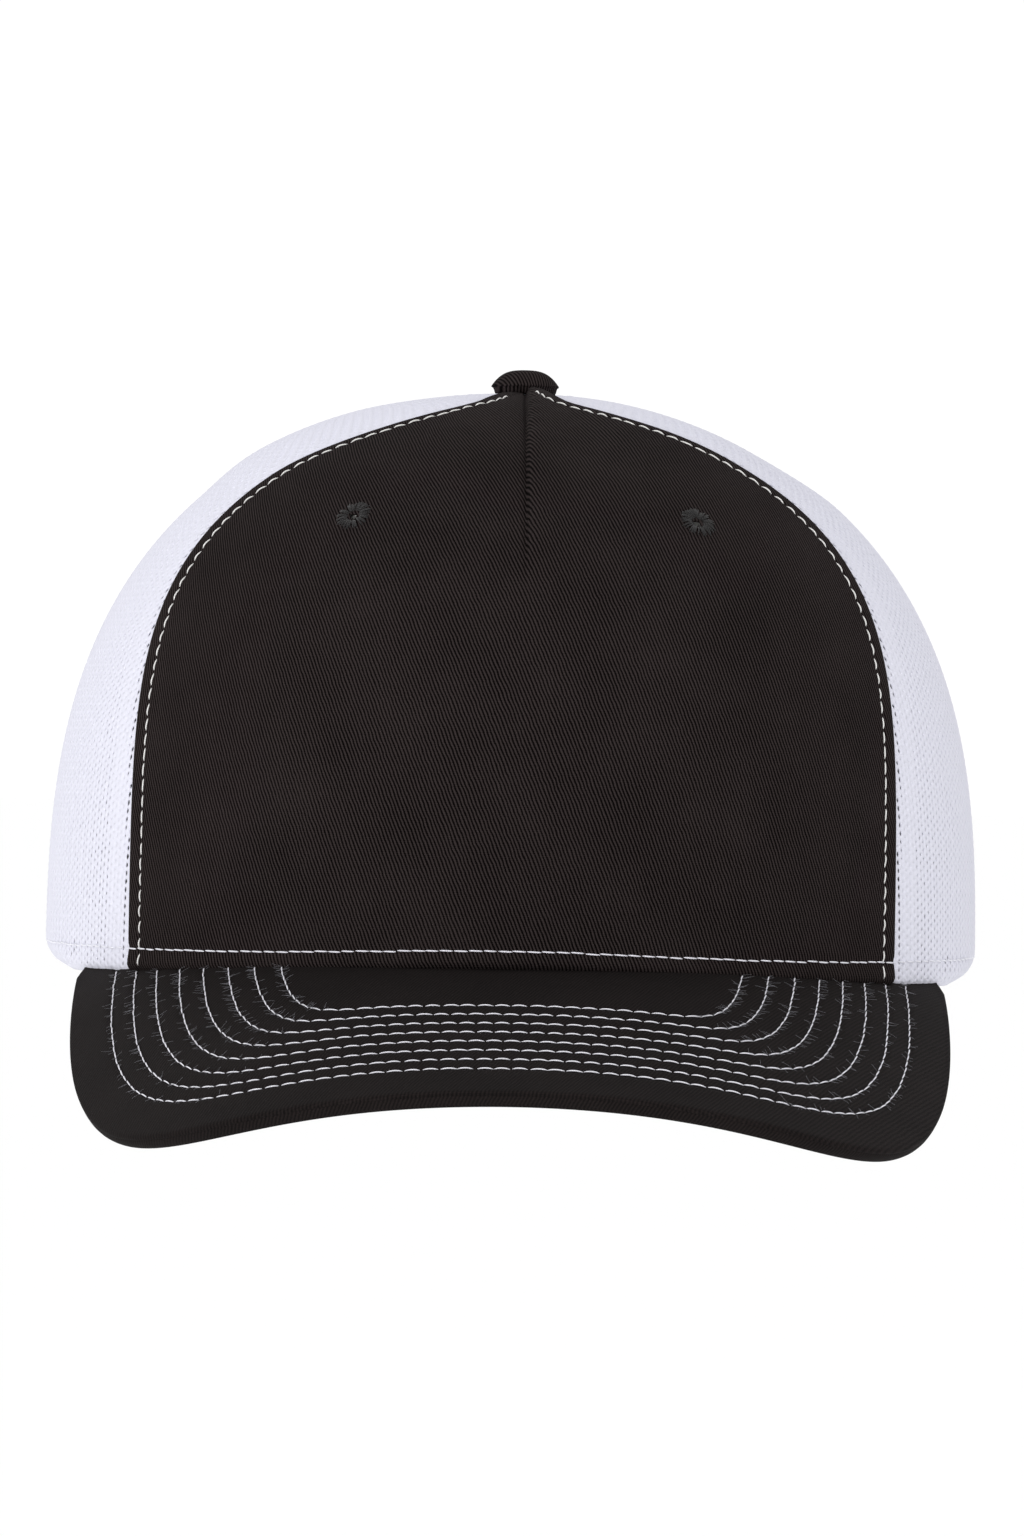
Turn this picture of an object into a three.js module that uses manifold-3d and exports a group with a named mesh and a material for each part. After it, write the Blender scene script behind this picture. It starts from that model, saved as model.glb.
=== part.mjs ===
// A five-panel trucker mesh cap: a stiffened twill front, four mesh panels, a curved stitched visor,
// a sweatband, taped seams, a covered button and a two-part plastic snap strap.
// Millimetres, +Z up. The origin is the centre of the head opening, in the plane of the crown's rim.
// The visor points along -Y. Left and right are the wearer's, so left is +X.

import * as THREE from "three";
import { mergeVertices, toCreasedNormals } from "three/addons/utils/BufferGeometryUtils.js";
import Module from "manifold-3d";

const wasm = await Module();
wasm.setup();

// ---------- driving dimensions ----------

const CROWN = { halfWidth: 97.7, halfFront: 97, halfBack: 98, height: 118.1, sideDip: 1.8 };
// A meridian runs out from the axis as (1 - h^rise)^(1/round), where h is its share of the height.
const MERIDIAN = {
  front: { rise: 3.0, round: 1.9 },
  side: { rise: 2.75, round: 2.13 },
  back: { rise: 2.6, round: 2.3 },
};
const CROWN_ROWS = 14;
const APEX_RADIUS = 4.5; // the panels stop here, under the button
const PANEL_GAP = 0.3; // left open along every seam

// Depths are measured inwards from the crown's outer surface.
const LAYER = {
  panel: [0, 0.8],
  buckram: [1.1, 1.9],
  tape: [2.3, 2.9],
  strapOuter: [2.2, 3.3],
  strapInner: [3.6, 4.7],
  sweatband: [3.7, 4.8],
};

// The front panel's side seam, seen from the front, is a curve of this half width and height.
const FRONT_SEAM = { halfWidth: 77.3, height: 117.3, rise: 5, round: 0.78, leastAzimuth: 38, ease: 4 };
const SIDE_SEAM = { atRim: 116, atApex: 108 }; // azimuths in degrees from the front
const TAPE = { width: 11, bottom: 2, topRadius: 10, mostTurn: 13 };
const DART = { length: 34 };
const BUCKRAM_INSET = 5;
const SWEATBAND = { bottom: 0.6, top: 34, endAzimuth: 152 };

const OPENING = { halfWidth: 44, height: 50, bottom: 1 };
const BINDING = { lap: 8, lip: 1, faceGap: 0.5, cloth: 0.5, segments: 22 };

const EYELET = { x: 34.5, z: 88, outer: 4.2, inner: 1.5, thickness: 0.7 };
const BUTTON = { radius: 7.1, height: 4.7, cloth: 0.5, shell: 0.5, rivet: 1.5 };

const VISOR = {
  halfWidth: 88.5,
  sideY: -37, // where the sides stop running straight back
  reach: 130, // from sideY to the front edge
  sideSquareness: 4.87,
  frontSquareness: 2.62,
  pitch: 0.297, // fall of the centre line for each millimetre forward
  drop: 0.36,
  sag: [0.0024, -0.00464, 0.00378, 0.00032],
  edgeSag: 0.42e-6,
  sagStartY: -30,
  sagLength: 130,
  lastTurn: 89.05, // where the outline's sweep meets the crown
  tipWidth: 1.6,
  top: [0, 0.6],
  board: [0.9, 2.5],
  under: [2.8, 3.4],
  boardInset: 0.03,
  edgeBand: 1.2,
  columns: 30,
  rows: 6,
};

// Strap angles are in degrees from the back's centre, positive towards the wearer's left.
const STRAP = { bottom: 2, height: 18, pitch: 4.6, root: 21.8, tabStart: 22.6, tabEnd: 35, corner: 3.2 };
const HOLE_STRAP = { firstHole: -12.4, holes: 7, radius: 2.7, end: -16 };
const PEG_STRAP = { firstPeg: 6, pegs: 5, radius: 1.6, end: 10, length: 2.2, jogTo: 16, jogFrom: 21 };

const TWILL = { color: 0x23201f, roughness: 0.85, metalness: 0 };
const MESH_CLOTH = { color: 0xe6e6f2, roughness: 0.8, metalness: 0 };
const LINING = { color: 0xf2f2f2, roughness: 0.9, metalness: 0 };
const PLASTIC = { color: 0xf0f0f4, roughness: 0.35, metalness: 0 };
const BOARD = { color: 0xd8d8d4, roughness: 0.5, metalness: 0 };
const STEEL = { color: 0xb8babd, roughness: 0.35, metalness: 1 };

const radians = THREE.MathUtils.degToRad;
const cap = new THREE.Group();

function addMesh(parent, name, geometry, look) {
  const creased = toCreasedNormals(geometryOf(solid(geometry)), 0.6);
  const mesh = new THREE.Mesh(creased, new THREE.MeshStandardMaterial(look));
  mesh.name = name;
  parent.add(mesh);
  return mesh;
}

// ---------- the crown's surface ----------

// A climb runs from 0 at the rim to 90 degrees at the apex, and spaces rows evenly along a meridian.
const CLIMB_POWER = 2 / MERIDIAN.side.rise;
const shareAtClimb = (climb) => Math.sin(climb) ** CLIMB_POWER;
const climbAtHeight = (z) => Math.asin((z / CROWN.height) ** (1 / CLIMB_POWER));

function crownRadius(azimuth, share) {
  const s = Math.sin(azimuth);
  const c = Math.cos(azimuth);
  const end = c > 0 ? MERIDIAN.front : MERIDIAN.back;
  const rise = MERIDIAN.side.rise * s * s + end.rise * c * c;
  const round = MERIDIAN.side.round * s * s + end.round * c * c;
  const depth = c > 0 ? CROWN.halfFront : CROWN.halfBack;
  const base = 1 / Math.hypot(s / CROWN.halfWidth, c / depth);
  return base * Math.max(0, 1 - share ** rise) ** (1 / round);
}

// Azimuth 0 is the front, and 90 degrees is the wearer's left.
function onCrown(azimuth, climb) {
  const share = shareAtClimb(climb);
  const r = crownRadius(azimuth, share);
  const dip = CROWN.sideDip * Math.sin(azimuth) ** 2 * (1 - share) ** 6;
  return new THREE.Vector3(r * Math.sin(azimuth), -r * Math.cos(azimuth), CROWN.height * share - dip);
}

// The point under the crown's surface at that depth; a negative depth stands proud of it.
function inCrown(azimuth, climb, depth) {
  const step = 0.02;
  const low = Math.max(0.001, climb - step);
  const high = Math.min(Math.PI / 2 - 0.001, climb + step);
  const up = onCrown(azimuth, high).sub(onCrown(azimuth, low));
  const around = onCrown(azimuth + step, climb).sub(onCrown(azimuth - step, climb));
  const outward = around.cross(up).normalize();
  return onCrown(azimuth, climb).addScaledVector(outward, -depth);
}

// The azimuth, on the front or the back half, of the surface point that far to the side.
function azimuthAt(x, share, back = false) {
  let azimuth = back ? Math.PI : 0;
  for (let i = 0; i < 20; i++) {
    const turn = Math.asin(THREE.MathUtils.clamp(x / crownRadius(azimuth, share), -1, 1));
    azimuth = back ? Math.PI - turn : turn;
  }
  return azimuth;
}

function climbAtRadius(azimuth, radius) {
  let low = 0;
  let high = Math.PI / 2;
  for (let i = 0; i < 40; i++) {
    const middle = (low + high) / 2;
    if (crownRadius(azimuth, shareAtClimb(middle)) > radius) low = middle;
    else high = middle;
  }
  return low;
}

const APEX_CLIMB = climbAtRadius(Math.PI / 2, APEX_RADIUS);

function frontSeam(climb) {
  const share = shareAtClimb(climb);
  const height = Math.min(1, (share * CROWN.height) / FRONT_SEAM.height);
  const halfWidth = FRONT_SEAM.halfWidth * (1 - height ** FRONT_SEAM.rise) ** FRONT_SEAM.round;
  const seen = azimuthAt(halfWidth, share);
  const least = radians(FRONT_SEAM.leastAzimuth);
  return (seen + least + Math.hypot(seen - least, radians(FRONT_SEAM.ease))) / 2;
}

const sideSeam = (climb) =>
  radians(THREE.MathUtils.lerp(SIDE_SEAM.atRim, SIDE_SEAM.atApex, climb / (Math.PI / 2)));
const rearSeam = () => Math.PI;

// The angle that spans a length across a meridian at this height.
const angleFor = (length, azimuth, climb) =>
  length / Math.max(APEX_RADIUS, crownRadius(azimuth, shareAtClimb(climb)));

// ---------- solids from grids ----------

// A closed slab between two grids of points: outer and inner take a column and a row.
function slab(columns, rows, outer, inner) {
  const positions = [];
  const faces = [];
  const width = columns + 1;
  const layer = width * (rows + 1);
  for (const face of [outer, inner]) {
    for (let j = 0; j <= rows; j++) {
      for (let i = 0; i <= columns; i++) positions.push(...face(i / columns, j / rows).toArray());
    }
  }
  const quad = (a, b, c, d) => faces.push(a, b, c, a, c, d);
  for (let j = 0; j < rows; j++) {
    for (let i = 0; i < columns; i++) {
      const a = j * width + i;
      quad(a, a + 1, a + width + 1, a + width);
      quad(layer + a, layer + a + width, layer + a + width + 1, layer + a + 1);
    }
  }
  for (let i = 0; i < columns; i++) {
    const top = rows * width + i;
    quad(i + 1, i, layer + i, layer + i + 1);
    quad(top, top + 1, layer + top + 1, layer + top);
  }
  for (let j = 0; j < rows; j++) {
    const start = j * width;
    const end = start + columns;
    quad(start, start + width, layer + start + width, layer + start);
    quad(end + width, end, layer + end, layer + end + width);
  }
  const geometry = new THREE.BufferGeometry();
  geometry.setAttribute("position", new THREE.Float32BufferAttribute(positions, 3));
  geometry.setIndex(faces);
  geometry.computeVertexNormals();
  return geometry;
}

// A slab of the crown between two azimuth curves, each a function of the climb.
function crownSlab({ from, to, low = 0, high = APEX_CLIMB, columns, rows = CROWN_ROWS, depths }) {
  const at = (depth) => (u, v) => {
    const climb = THREE.MathUtils.lerp(low, high, v);
    return inCrown(THREE.MathUtils.lerp(from(climb), to(climb), u), climb, depth);
  };
  return slab(columns, rows, at(depths[0]), at(depths[1]));
}

const beside = (seam, length) => (climb) => seam(climb) + angleFor(length, seam(climb), climb);
const mirrored = (seam) => (climb) => -seam(climb);

function solid(geometry) {
  const bare = geometry.clone();
  for (const name of Object.keys(bare.attributes)) {
    if (name !== "position") bare.deleteAttribute(name);
  }
  const merged = mergeVertices(bare, 1e-4);
  const corners = merged.index.array;
  const faces = [];
  for (let i = 0; i < corners.length; i += 3) {
    const [a, b, c] = corners.slice(i, i + 3);
    if (a !== b && b !== c && c !== a) faces.push(a, b, c);
  }
  const vertProperties = merged.attributes.position.array;
  return new wasm.Manifold(new wasm.Mesh({ numProp: 3, vertProperties, triVerts: new Uint32Array(faces) }));
}

function geometryOf(manifold) {
  const mesh = manifold.getMesh();
  const geometry = new THREE.BufferGeometry();
  geometry.setAttribute("position", new THREE.BufferAttribute(mesh.vertProperties, 3));
  geometry.setIndex(new THREE.BufferAttribute(mesh.triVerts, 1));
  geometry.computeVertexNormals();
  return geometry;
}

const cut = (geometry, ...cutters) =>
  geometryOf(cutters.reduce((left, cutter) => left.subtract(solid(cutter)), solid(geometry)));

// Turns a shape made along a normal of +Z to stand on the crown at that place, facing out.
function standOnCrown(object, azimuth, climb, depth) {
  const outward = inCrown(azimuth, climb, -1).sub(inCrown(azimuth, climb, 0));
  object.position.copy(inCrown(azimuth, climb, depth));
  object.quaternion.setFromUnitVectors(new THREE.Vector3(0, 0, 1), outward.normalize());
  object.updateMatrix();
  return object;
}

// A profile of radius and height pairs, turned about Z.
function turned(profile, segments) {
  const points = profile.map(([radius, height]) => new THREE.Vector2(radius, height));
  return new THREE.LatheGeometry(points, segments).rotateX(Math.PI / 2);
}

// ---------- crown panels ----------

const eyeletClimb = climbAtHeight(EYELET.z);
const eyeletAzimuth = azimuthAt(EYELET.x, shareAtClimb(eyeletClimb));

function eyeletCutter(side) {
  const drill = new THREE.CylinderGeometry(EYELET.inner, EYELET.inner, 12, 12).rotateX(Math.PI / 2);
  const place = standOnCrown(new THREE.Object3D(), side * eyeletAzimuth, eyeletClimb, 0);
  return drill.applyMatrix4(place.matrix);
}

function buildFront() {
  const eyeletCutters = [eyeletCutter(1), eyeletCutter(-1)];
  const edge = beside(frontSeam, -PANEL_GAP / 2);
  const panel = crownSlab({ from: mirrored(edge), to: edge, columns: 18, depths: LAYER.panel });
  addMesh(cap, "front_panel", cut(panel, ...eyeletCutters), TWILL);

  const stiffEdge = beside(frontSeam, -BUCKRAM_INSET);
  const top = climbAtRadius(0, TAPE.topRadius);
  const buckram = crownSlab({
    from: mirrored(stiffEdge),
    to: stiffEdge,
    low: climbAtHeight(TAPE.bottom),
    high: top,
    columns: 16,
    rows: CROWN_ROWS - 1,
    depths: LAYER.buckram,
  });
  addMesh(cap, "front_buckram", cut(buckram, ...eyeletCutters), LINING);
}

// The arched hole over the strap, as a prism along Y.
function openingCutter(margin) {
  const shape = new THREE.Shape();
  shape.moveTo(OPENING.halfWidth + margin, -20);
  shape.lineTo(OPENING.halfWidth + margin, 0);
  shape.absellipse(0, 0, OPENING.halfWidth + margin, OPENING.height + margin, 0, Math.PI, false);
  shape.lineTo(-OPENING.halfWidth - margin, -20);
  const prism = new THREE.ExtrudeGeometry(shape, { depth: 80, bevelEnabled: false, curveSegments: 20 });
  return prism.rotateX(Math.PI / 2).translate(0, 130, 0);
}

function buildMeshPanels() {
  const opening = openingCutter(BINDING.faceGap);
  for (const [name, side] of [["left", 1], ["right", -1]]) {
    const place = (seam) => (side > 0 ? seam : mirrored(seam));
    const span = (low, high) => (side > 0 ? { from: low, to: high } : { from: place(high), to: place(low) });
    const sidePanel = crownSlab({
      ...span(beside(frontSeam, PANEL_GAP / 2), beside(sideSeam, -PANEL_GAP / 2)),
      columns: 9,
      depths: LAYER.panel,
    });
    addMesh(cap, `side_mesh_${name}`, sidePanel, MESH_CLOTH);
    const rearPanel = crownSlab({
      ...span(beside(sideSeam, PANEL_GAP / 2), beside(rearSeam, -PANEL_GAP / 2)),
      columns: 12,
      depths: LAYER.panel,
    });
    addMesh(cap, `rear_mesh_${name}`, cut(rearPanel, opening), MESH_CLOTH);
  }
}

// ---------- tapes, sweatband and binding ----------

function seamTape(name, seam, bottom) {
  const edge = (side) => (climb) => {
    const turn = angleFor(TAPE.width / 2, seam(climb), climb);
    return seam(climb) + side * Math.min(turn, radians(TAPE.mostTurn));
  };
  const tape = crownSlab({
    from: edge(-1),
    to: edge(1),
    low: climbAtHeight(bottom),
    high: climbAtRadius(seam(APEX_CLIMB), TAPE.topRadius),
    columns: 2,
    rows: CROWN_ROWS - 1,
    depths: LAYER.tape,
  });
  addMesh(cap, name, tape, LINING);
}

function buildTapes() {
  const straightAhead = () => 0;
  seamTape("front_seam_tape_left", frontSeam, TAPE.bottom);
  seamTape("front_seam_tape_right", mirrored(frontSeam), TAPE.bottom);
  seamTape("side_seam_tape_left", sideSeam, TAPE.bottom);
  seamTape("side_seam_tape_right", mirrored(sideSeam), TAPE.bottom);
  seamTape("rear_seam_tape", rearSeam, OPENING.height + BINDING.lap + 1);
  seamTape("dart_tape", straightAhead, CROWN.height - DART.length);
}

function buildSweatband() {
  const end = radians(SWEATBAND.endAzimuth);
  const band = crownSlab({
    from: () => -end,
    to: () => end,
    low: climbAtHeight(SWEATBAND.bottom),
    high: climbAtHeight(SWEATBAND.top),
    columns: 48,
    rows: 2,
    depths: LAYER.sweatband,
  });
  addMesh(cap, "sweatband", band, LINING);
}

// A folded strip round the opening's edge: a U in section, with a leg on each face of the mesh.
function buildBinding() {
  const { lap, lip, faceGap, cloth, segments } = BINDING;
  const outside = -faceGap;
  const inside = LAYER.panel[1] + faceGap;
  // Each corner is a distance out from the opening's edge and a depth.
  const skin = [[lap, inside + cloth], [-lip, inside + cloth], [-lip, outside - cloth], [lap, outside - cloth]];
  const fold = [[lap, inside], [0, inside], [0, outside], [lap, outside]];
  const low = Math.asin(OPENING.bottom / OPENING.height);
  const along = (section) => (u, v) => {
    const [out, depth] = section[Math.round(v * 3)];
    const turn = THREE.MathUtils.lerp(low, Math.PI - low, u);
    const z = Math.max(OPENING.bottom, (OPENING.height + out) * Math.sin(turn));
    const azimuth = azimuthAt((OPENING.halfWidth + out) * Math.cos(turn), z / CROWN.height, true);
    return inCrown(azimuth, climbAtHeight(z), depth);
  };
  addMesh(cap, "rear_opening_binding", slab(segments, 3, along(skin), along(fold)), MESH_CLOTH);
}

// ---------- eyelets and button ----------

function buildEyelets() {
  const { outer, inner, thickness } = EYELET;
  const rise = thickness / 2;
  const middle = (outer + inner) / 2;
  const profile = [
    [inner, 0],
    [outer, 0],
    [outer - rise, rise],
    [middle, thickness],
    [inner + rise / 2, rise],
    [inner, 0],
  ];
  for (const [name, side] of [["left", 1], ["right", -1]]) {
    const ring = addMesh(cap, `eyelet_${name}`, turned(profile, 14), TWILL);
    standOnCrown(ring, side * eyeletAzimuth, eyeletClimb, -0.35);
  }
}

function hollowDome(radius, height, thickness) {
  const steps = 5;
  const rising = (r, h, i) => {
    const turn = (i / steps) * (Math.PI / 2);
    return [i === steps ? 0 : r * Math.cos(turn), h * Math.sin(turn)];
  };
  const profile = [];
  for (let i = steps; i >= 0; i--) profile.push(rising(radius - thickness, height - thickness, i));
  for (let i = 0; i <= steps; i++) profile.push(rising(radius, height, i));
  return turned(profile, 20);
}

function buildButton() {
  const { radius, height, cloth, shell, rivet } = BUTTON;
  const gap = 0.3;
  const stack = new THREE.Group();
  stack.position.z = CROWN.height + gap;
  cap.add(stack);

  const shellRadius = radius - cloth - gap;
  const shellHeight = height - cloth - gap;
  addMesh(stack, "button_cover", hollowDome(radius, height, cloth), TWILL);
  addMesh(stack, "button_shell", hollowDome(shellRadius, shellHeight, shell), STEEL);

  const headTop = shellHeight - shell - gap - 0.4;
  const washerTop = -3.1;
  const washerThickness = 0.6;
  const rivetFoot = washerTop - washerThickness - gap - 0.5;
  const rivetProfile = [
    [0, rivetFoot],
    [rivet + 1.2, rivetFoot],
    [rivet + 1.2, rivetFoot + 0.5],
    [rivet, rivetFoot + 0.5],
    [rivet, headTop - 0.8],
    [rivet + 1.2, headTop - 0.8],
    [rivet + 1.2, headTop],
    [0, headTop],
  ];
  addMesh(stack, "button_rivet", turned(rivetProfile, 12), STEEL);
  const washerProfile = [
    [rivet + gap, washerTop - washerThickness],
    [radius - 0.6, washerTop - washerThickness],
    [radius - 0.6, washerTop],
    [rivet + gap, washerTop],
    [rivet + gap, washerTop - washerThickness],
  ];
  addMesh(stack, "button_washer", turned(washerProfile, 16), STEEL);
}

// ---------- visor ----------

// The height of the visor's upper face over a point of its plan.
function visorHeight(x, y) {
  const t = (VISOR.sagStartY - y) / VISOR.sagLength;
  const sag = VISOR.sag.reduce((sum, k, power) => sum + k * t ** power, 0);
  return VISOR.pitch * (y + CROWN.halfFront) - sag * x * x - VISOR.edgeSag * x ** 4 * t - VISOR.drop;
}

function inVisor(x, y, depth) {
  const step = 0.5;
  const across = new THREE.Vector3(2 * step, 0, visorHeight(x + step, y) - visorHeight(x - step, y));
  const along = new THREE.Vector3(0, 2 * step, visorHeight(x, y + step) - visorHeight(x, y - step));
  const up = across.cross(along).normalize();
  return new THREE.Vector3(x, y, visorHeight(x, y)).addScaledVector(up, -depth);
}

// The visor's outline in plan; u runs from the right tip to the left.
function visorEdge(u, inset) {
  const side = Math.sin(radians(THREE.MathUtils.lerp(-VISOR.lastTurn, VISOR.lastTurn, u)));
  const ahead = (1 - Math.abs(side) ** VISOR.sideSquareness) ** (1 / VISOR.frontSquareness);
  return new THREE.Vector2(VISOR.halfWidth * side, -VISOR.reach * ahead)
    .multiplyScalar(1 - inset)
    .add(new THREE.Vector2(0, VISOR.sideY));
}

// The seam between visor and crown, just outside the crown's cloth.
function visorSeam(u, inset) {
  const tip = azimuthAt(VISOR.halfWidth * (1 - inset) - VISOR.tipWidth, 0);
  const seam = onCrown(THREE.MathUtils.lerp(-tip, tip, u), 0);
  return new THREE.Vector2(seam.x, seam.y).multiplyScalar(1 + (2 * PANEL_GAP) / CROWN.halfFront);
}

function visorLayer(name, depths, inset, look) {
  const at = (depth) => (u, v) => {
    const { x, y } = visorEdge(u, inset).lerp(visorSeam(u, inset), v);
    return inVisor(x, y, depth);
  };
  addMesh(cap, name, slab(VISOR.columns, VISOR.rows, at(depths[0]), at(depths[1])), look);
}

// The strip of cloth round the rim, between the two covers.
function buildVisorEdge() {
  const at = (depth) => (u, v) => {
    const edge = visorEdge(u, 0);
    const inwards = visorSeam(u, 0).sub(edge).setLength(VISOR.edgeBand * v);
    return inVisor(edge.x + inwards.x, edge.y + inwards.y, depth);
  };
  addMesh(cap, "visor_edge_band", slab(VISOR.columns, 1, at(VISOR.board[0]), at(VISOR.board[1])), TWILL);
}

function buildVisor() {
  visorLayer("visor_top_cover", VISOR.top, 0, TWILL);
  visorLayer("visor_board", VISOR.board, VISOR.boardInset, BOARD);
  visorLayer("visor_under_cover", VISOR.under, 0, TWILL);
  buildVisorEdge();
}

// ---------- snap strap ----------

const strapPoint = (angle, z, depth) => inCrown(Math.PI - radians(angle), climbAtHeight(z), depth);
const strapMiddle = STRAP.bottom + STRAP.height / 2;
const strapThickness = LAYER.strapOuter[1] - LAYER.strapOuter[0];

// A strip bent round the back of the crown from its sewn end to a rounded free end.
function bentStrap(root, end, depthAt) {
  const at = (layer) => (u, v) => {
    const share = root > end ? u : 1 - u;
    const angle = THREE.MathUtils.lerp(root, end, 1 - (1 - share) ** 1.6);
    const rounding = Math.max(0, 1 - Math.abs(angle - end) / STRAP.corner);
    const across = (v - 0.5) * STRAP.height * (1 - 0.45 * rounding ** 2.5);
    return strapPoint(angle, strapMiddle + across, depthAt(angle) + layer);
  };
  return slab(18, 1, at(0), at(strapThickness));
}

function standOnStrap(geometry, angle, depth) {
  const place = new THREE.Object3D();
  standOnCrown(place, Math.PI - radians(angle), climbAtHeight(strapMiddle), depth);
  return solid(geometry.clone().applyMatrix4(place.matrix));
}

function strapTab(name, side) {
  const at = (depth) => (u, v) => {
    const angle = side * THREE.MathUtils.lerp(STRAP.tabEnd, STRAP.tabStart, side > 0 ? u : 1 - u);
    return strapPoint(angle, THREE.MathUtils.lerp(STRAP.bottom, STRAP.bottom + STRAP.height, v), depth);
  };
  addMesh(cap, name, slab(4, 1, at(LAYER.strapOuter[0]), at(LAYER.strapOuter[1])), PLASTIC);
}

function buildHoleStrap() {
  const punch = new THREE.CylinderGeometry(HOLE_STRAP.radius, HOLE_STRAP.radius, 8, 16).rotateX(Math.PI / 2);
  let strap = solid(bentStrap(STRAP.root, HOLE_STRAP.end, () => LAYER.strapOuter[0]));
  for (let i = 0; i < HOLE_STRAP.holes; i++) {
    const angle = HOLE_STRAP.firstHole + i * STRAP.pitch;
    strap = strap.subtract(standOnStrap(punch, angle, LAYER.strapOuter[0]));
  }
  addMesh(cap, "hole_strap", geometryOf(strap), PLASTIC);
}

// The peg strap starts level with the other at its sewn end and steps in behind it.
function buildPegStrap() {
  const depthAt = (angle) => {
    const share = THREE.MathUtils.smoothstep(-angle, PEG_STRAP.jogTo, PEG_STRAP.jogFrom);
    return THREE.MathUtils.lerp(LAYER.strapInner[0], LAYER.strapOuter[0], share);
  };
  const { radius, length } = PEG_STRAP;
  const profile = [
    [0, -0.4],
    [radius - 0.3, -0.4],
    [radius - 0.3, length - 0.9],
    [radius, length - 0.6],
    [radius - 0.5, length],
    [0, length],
  ];
  const peg = turned(profile, 12);
  let strap = solid(bentStrap(-STRAP.root, PEG_STRAP.end, depthAt));
  for (let i = 0; i < PEG_STRAP.pegs; i++) {
    const angle = PEG_STRAP.firstPeg - i * STRAP.pitch;
    strap = strap.add(standOnStrap(peg, angle, depthAt(angle)));
  }
  addMesh(cap, "peg_strap", geometryOf(strap), PLASTIC);
}

function buildStraps() {
  strapTab("hole_strap_sewn_end", 1);
  strapTab("peg_strap_sewn_end", -1);
  buildHoleStrap();
  buildPegStrap();
}

buildFront();
buildMeshPanels();
buildTapes();
buildSweatband();
buildBinding();
buildEyelets();
buildButton();
buildVisor();
buildStraps();

export default cap;
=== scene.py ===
"""Looks for a trucker mesh cap: cloth, thread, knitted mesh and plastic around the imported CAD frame.

Lengths are in millimetres until a mesh is made, which is when they become metres.
"""

import math

import bpy
import numpy as np
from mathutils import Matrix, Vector


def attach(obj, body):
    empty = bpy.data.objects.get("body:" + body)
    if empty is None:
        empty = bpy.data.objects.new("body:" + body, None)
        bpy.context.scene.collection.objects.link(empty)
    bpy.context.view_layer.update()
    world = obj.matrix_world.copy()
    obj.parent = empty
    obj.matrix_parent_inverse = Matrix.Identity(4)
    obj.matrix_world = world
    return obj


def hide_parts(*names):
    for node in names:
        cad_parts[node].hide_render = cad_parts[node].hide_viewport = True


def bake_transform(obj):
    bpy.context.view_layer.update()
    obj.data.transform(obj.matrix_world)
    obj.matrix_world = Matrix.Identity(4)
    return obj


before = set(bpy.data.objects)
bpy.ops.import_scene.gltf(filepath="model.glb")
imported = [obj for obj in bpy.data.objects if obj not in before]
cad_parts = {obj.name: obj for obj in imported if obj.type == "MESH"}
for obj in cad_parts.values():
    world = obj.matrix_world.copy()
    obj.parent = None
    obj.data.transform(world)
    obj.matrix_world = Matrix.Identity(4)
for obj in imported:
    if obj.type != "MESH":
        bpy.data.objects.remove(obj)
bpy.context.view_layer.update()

MM = 0.001
RNG = np.random.default_rng(7)

# ---------- the cap's dimensions ----------

# Mostly the CAD's. The rim's dip, the shoulders' lean, the front seams beside the button, the eyelets and
# the visor's outline differ from the CAD's, to follow the photo.
HALF_WIDTH, HALF_FRONT, HALF_BACK, HEIGHT = 97.7, 97.0, 98.0, 118.1
RIM_DROP, SIDE_DIP = 0.4, 3.6
LEAN, SWAY = -2.0, 1.3
# Powers in the crown's section: how soon it turns over, and how squarely.
RISE = {"front": 3.0, "side": 2.75, "back": 2.6}
ROUND = {"front": 1.9, "side": 2.13, "back": 2.3}
CLIMB_POWER = 2 / RISE["side"]
APEX_RADIUS = 4.5
SEAM_HALF_WIDTH, SEAM_HEIGHT, SEAM_RISE, SEAM_ROUND, SEAM_DROP = 77.3, 117.3, 5, 0.78, 1.1
# The least azimuths of the front seams and of their tapes near the button, and how softly they are reached.
SEAM_LEAST, TAPE_LEAST, SEAM_EASE = math.radians(20), math.radians(38), math.radians(4)
SIDE_SEAM_RIM, SIDE_SEAM_APEX = math.radians(116), math.radians(108)
FRONT_SEAM_MIDDLE = math.radians(50)
SEAM_END_RADIUS, LINING_END_RADIUS = 9, 10
OPENING_HALF_WIDTH, OPENING_HEIGHT = 44.0, 50.0
SWEAT_END = math.radians(152)
EYELET_X, EYELET_Z, EYELET_SHIFT = 34.5, 89.2, 1.2
VISOR_THICKNESS, TWILL_THICKNESS = 3.4, 0.5
VISOR_SIDE_Y = -37.0
# Width, reach and squarenesses of the visor's outline, and how far round it goes.
EDGE = (88.4, 130.1, 3.62, 3.44)
EDGE_TURN = math.radians(89.05)
ROWS_OF_STITCHES, ROW_TURN = 8, math.radians(89.3)


# ---------- the crown's surface ----------


def smooth(value, low, high):
    t = np.clip((value - low) / (high - low), 0, 1)
    return t * t * (3 - 2 * t)


def bell(value, middle, width):
    return np.exp(-(((value - middle) / width) ** 2))


def together(*values):
    return np.broadcast_arrays(*(np.asarray(value, float) for value in values))


def unit(v):
    return v / np.maximum(np.linalg.norm(v, axis=-1, keepdims=True), 1e-12)


def run_lengths(points):
    """The length along a polyline to each of its points."""
    return np.concatenate([[0], np.cumsum(np.linalg.norm(np.diff(points, axis=0), axis=1))])


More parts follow.
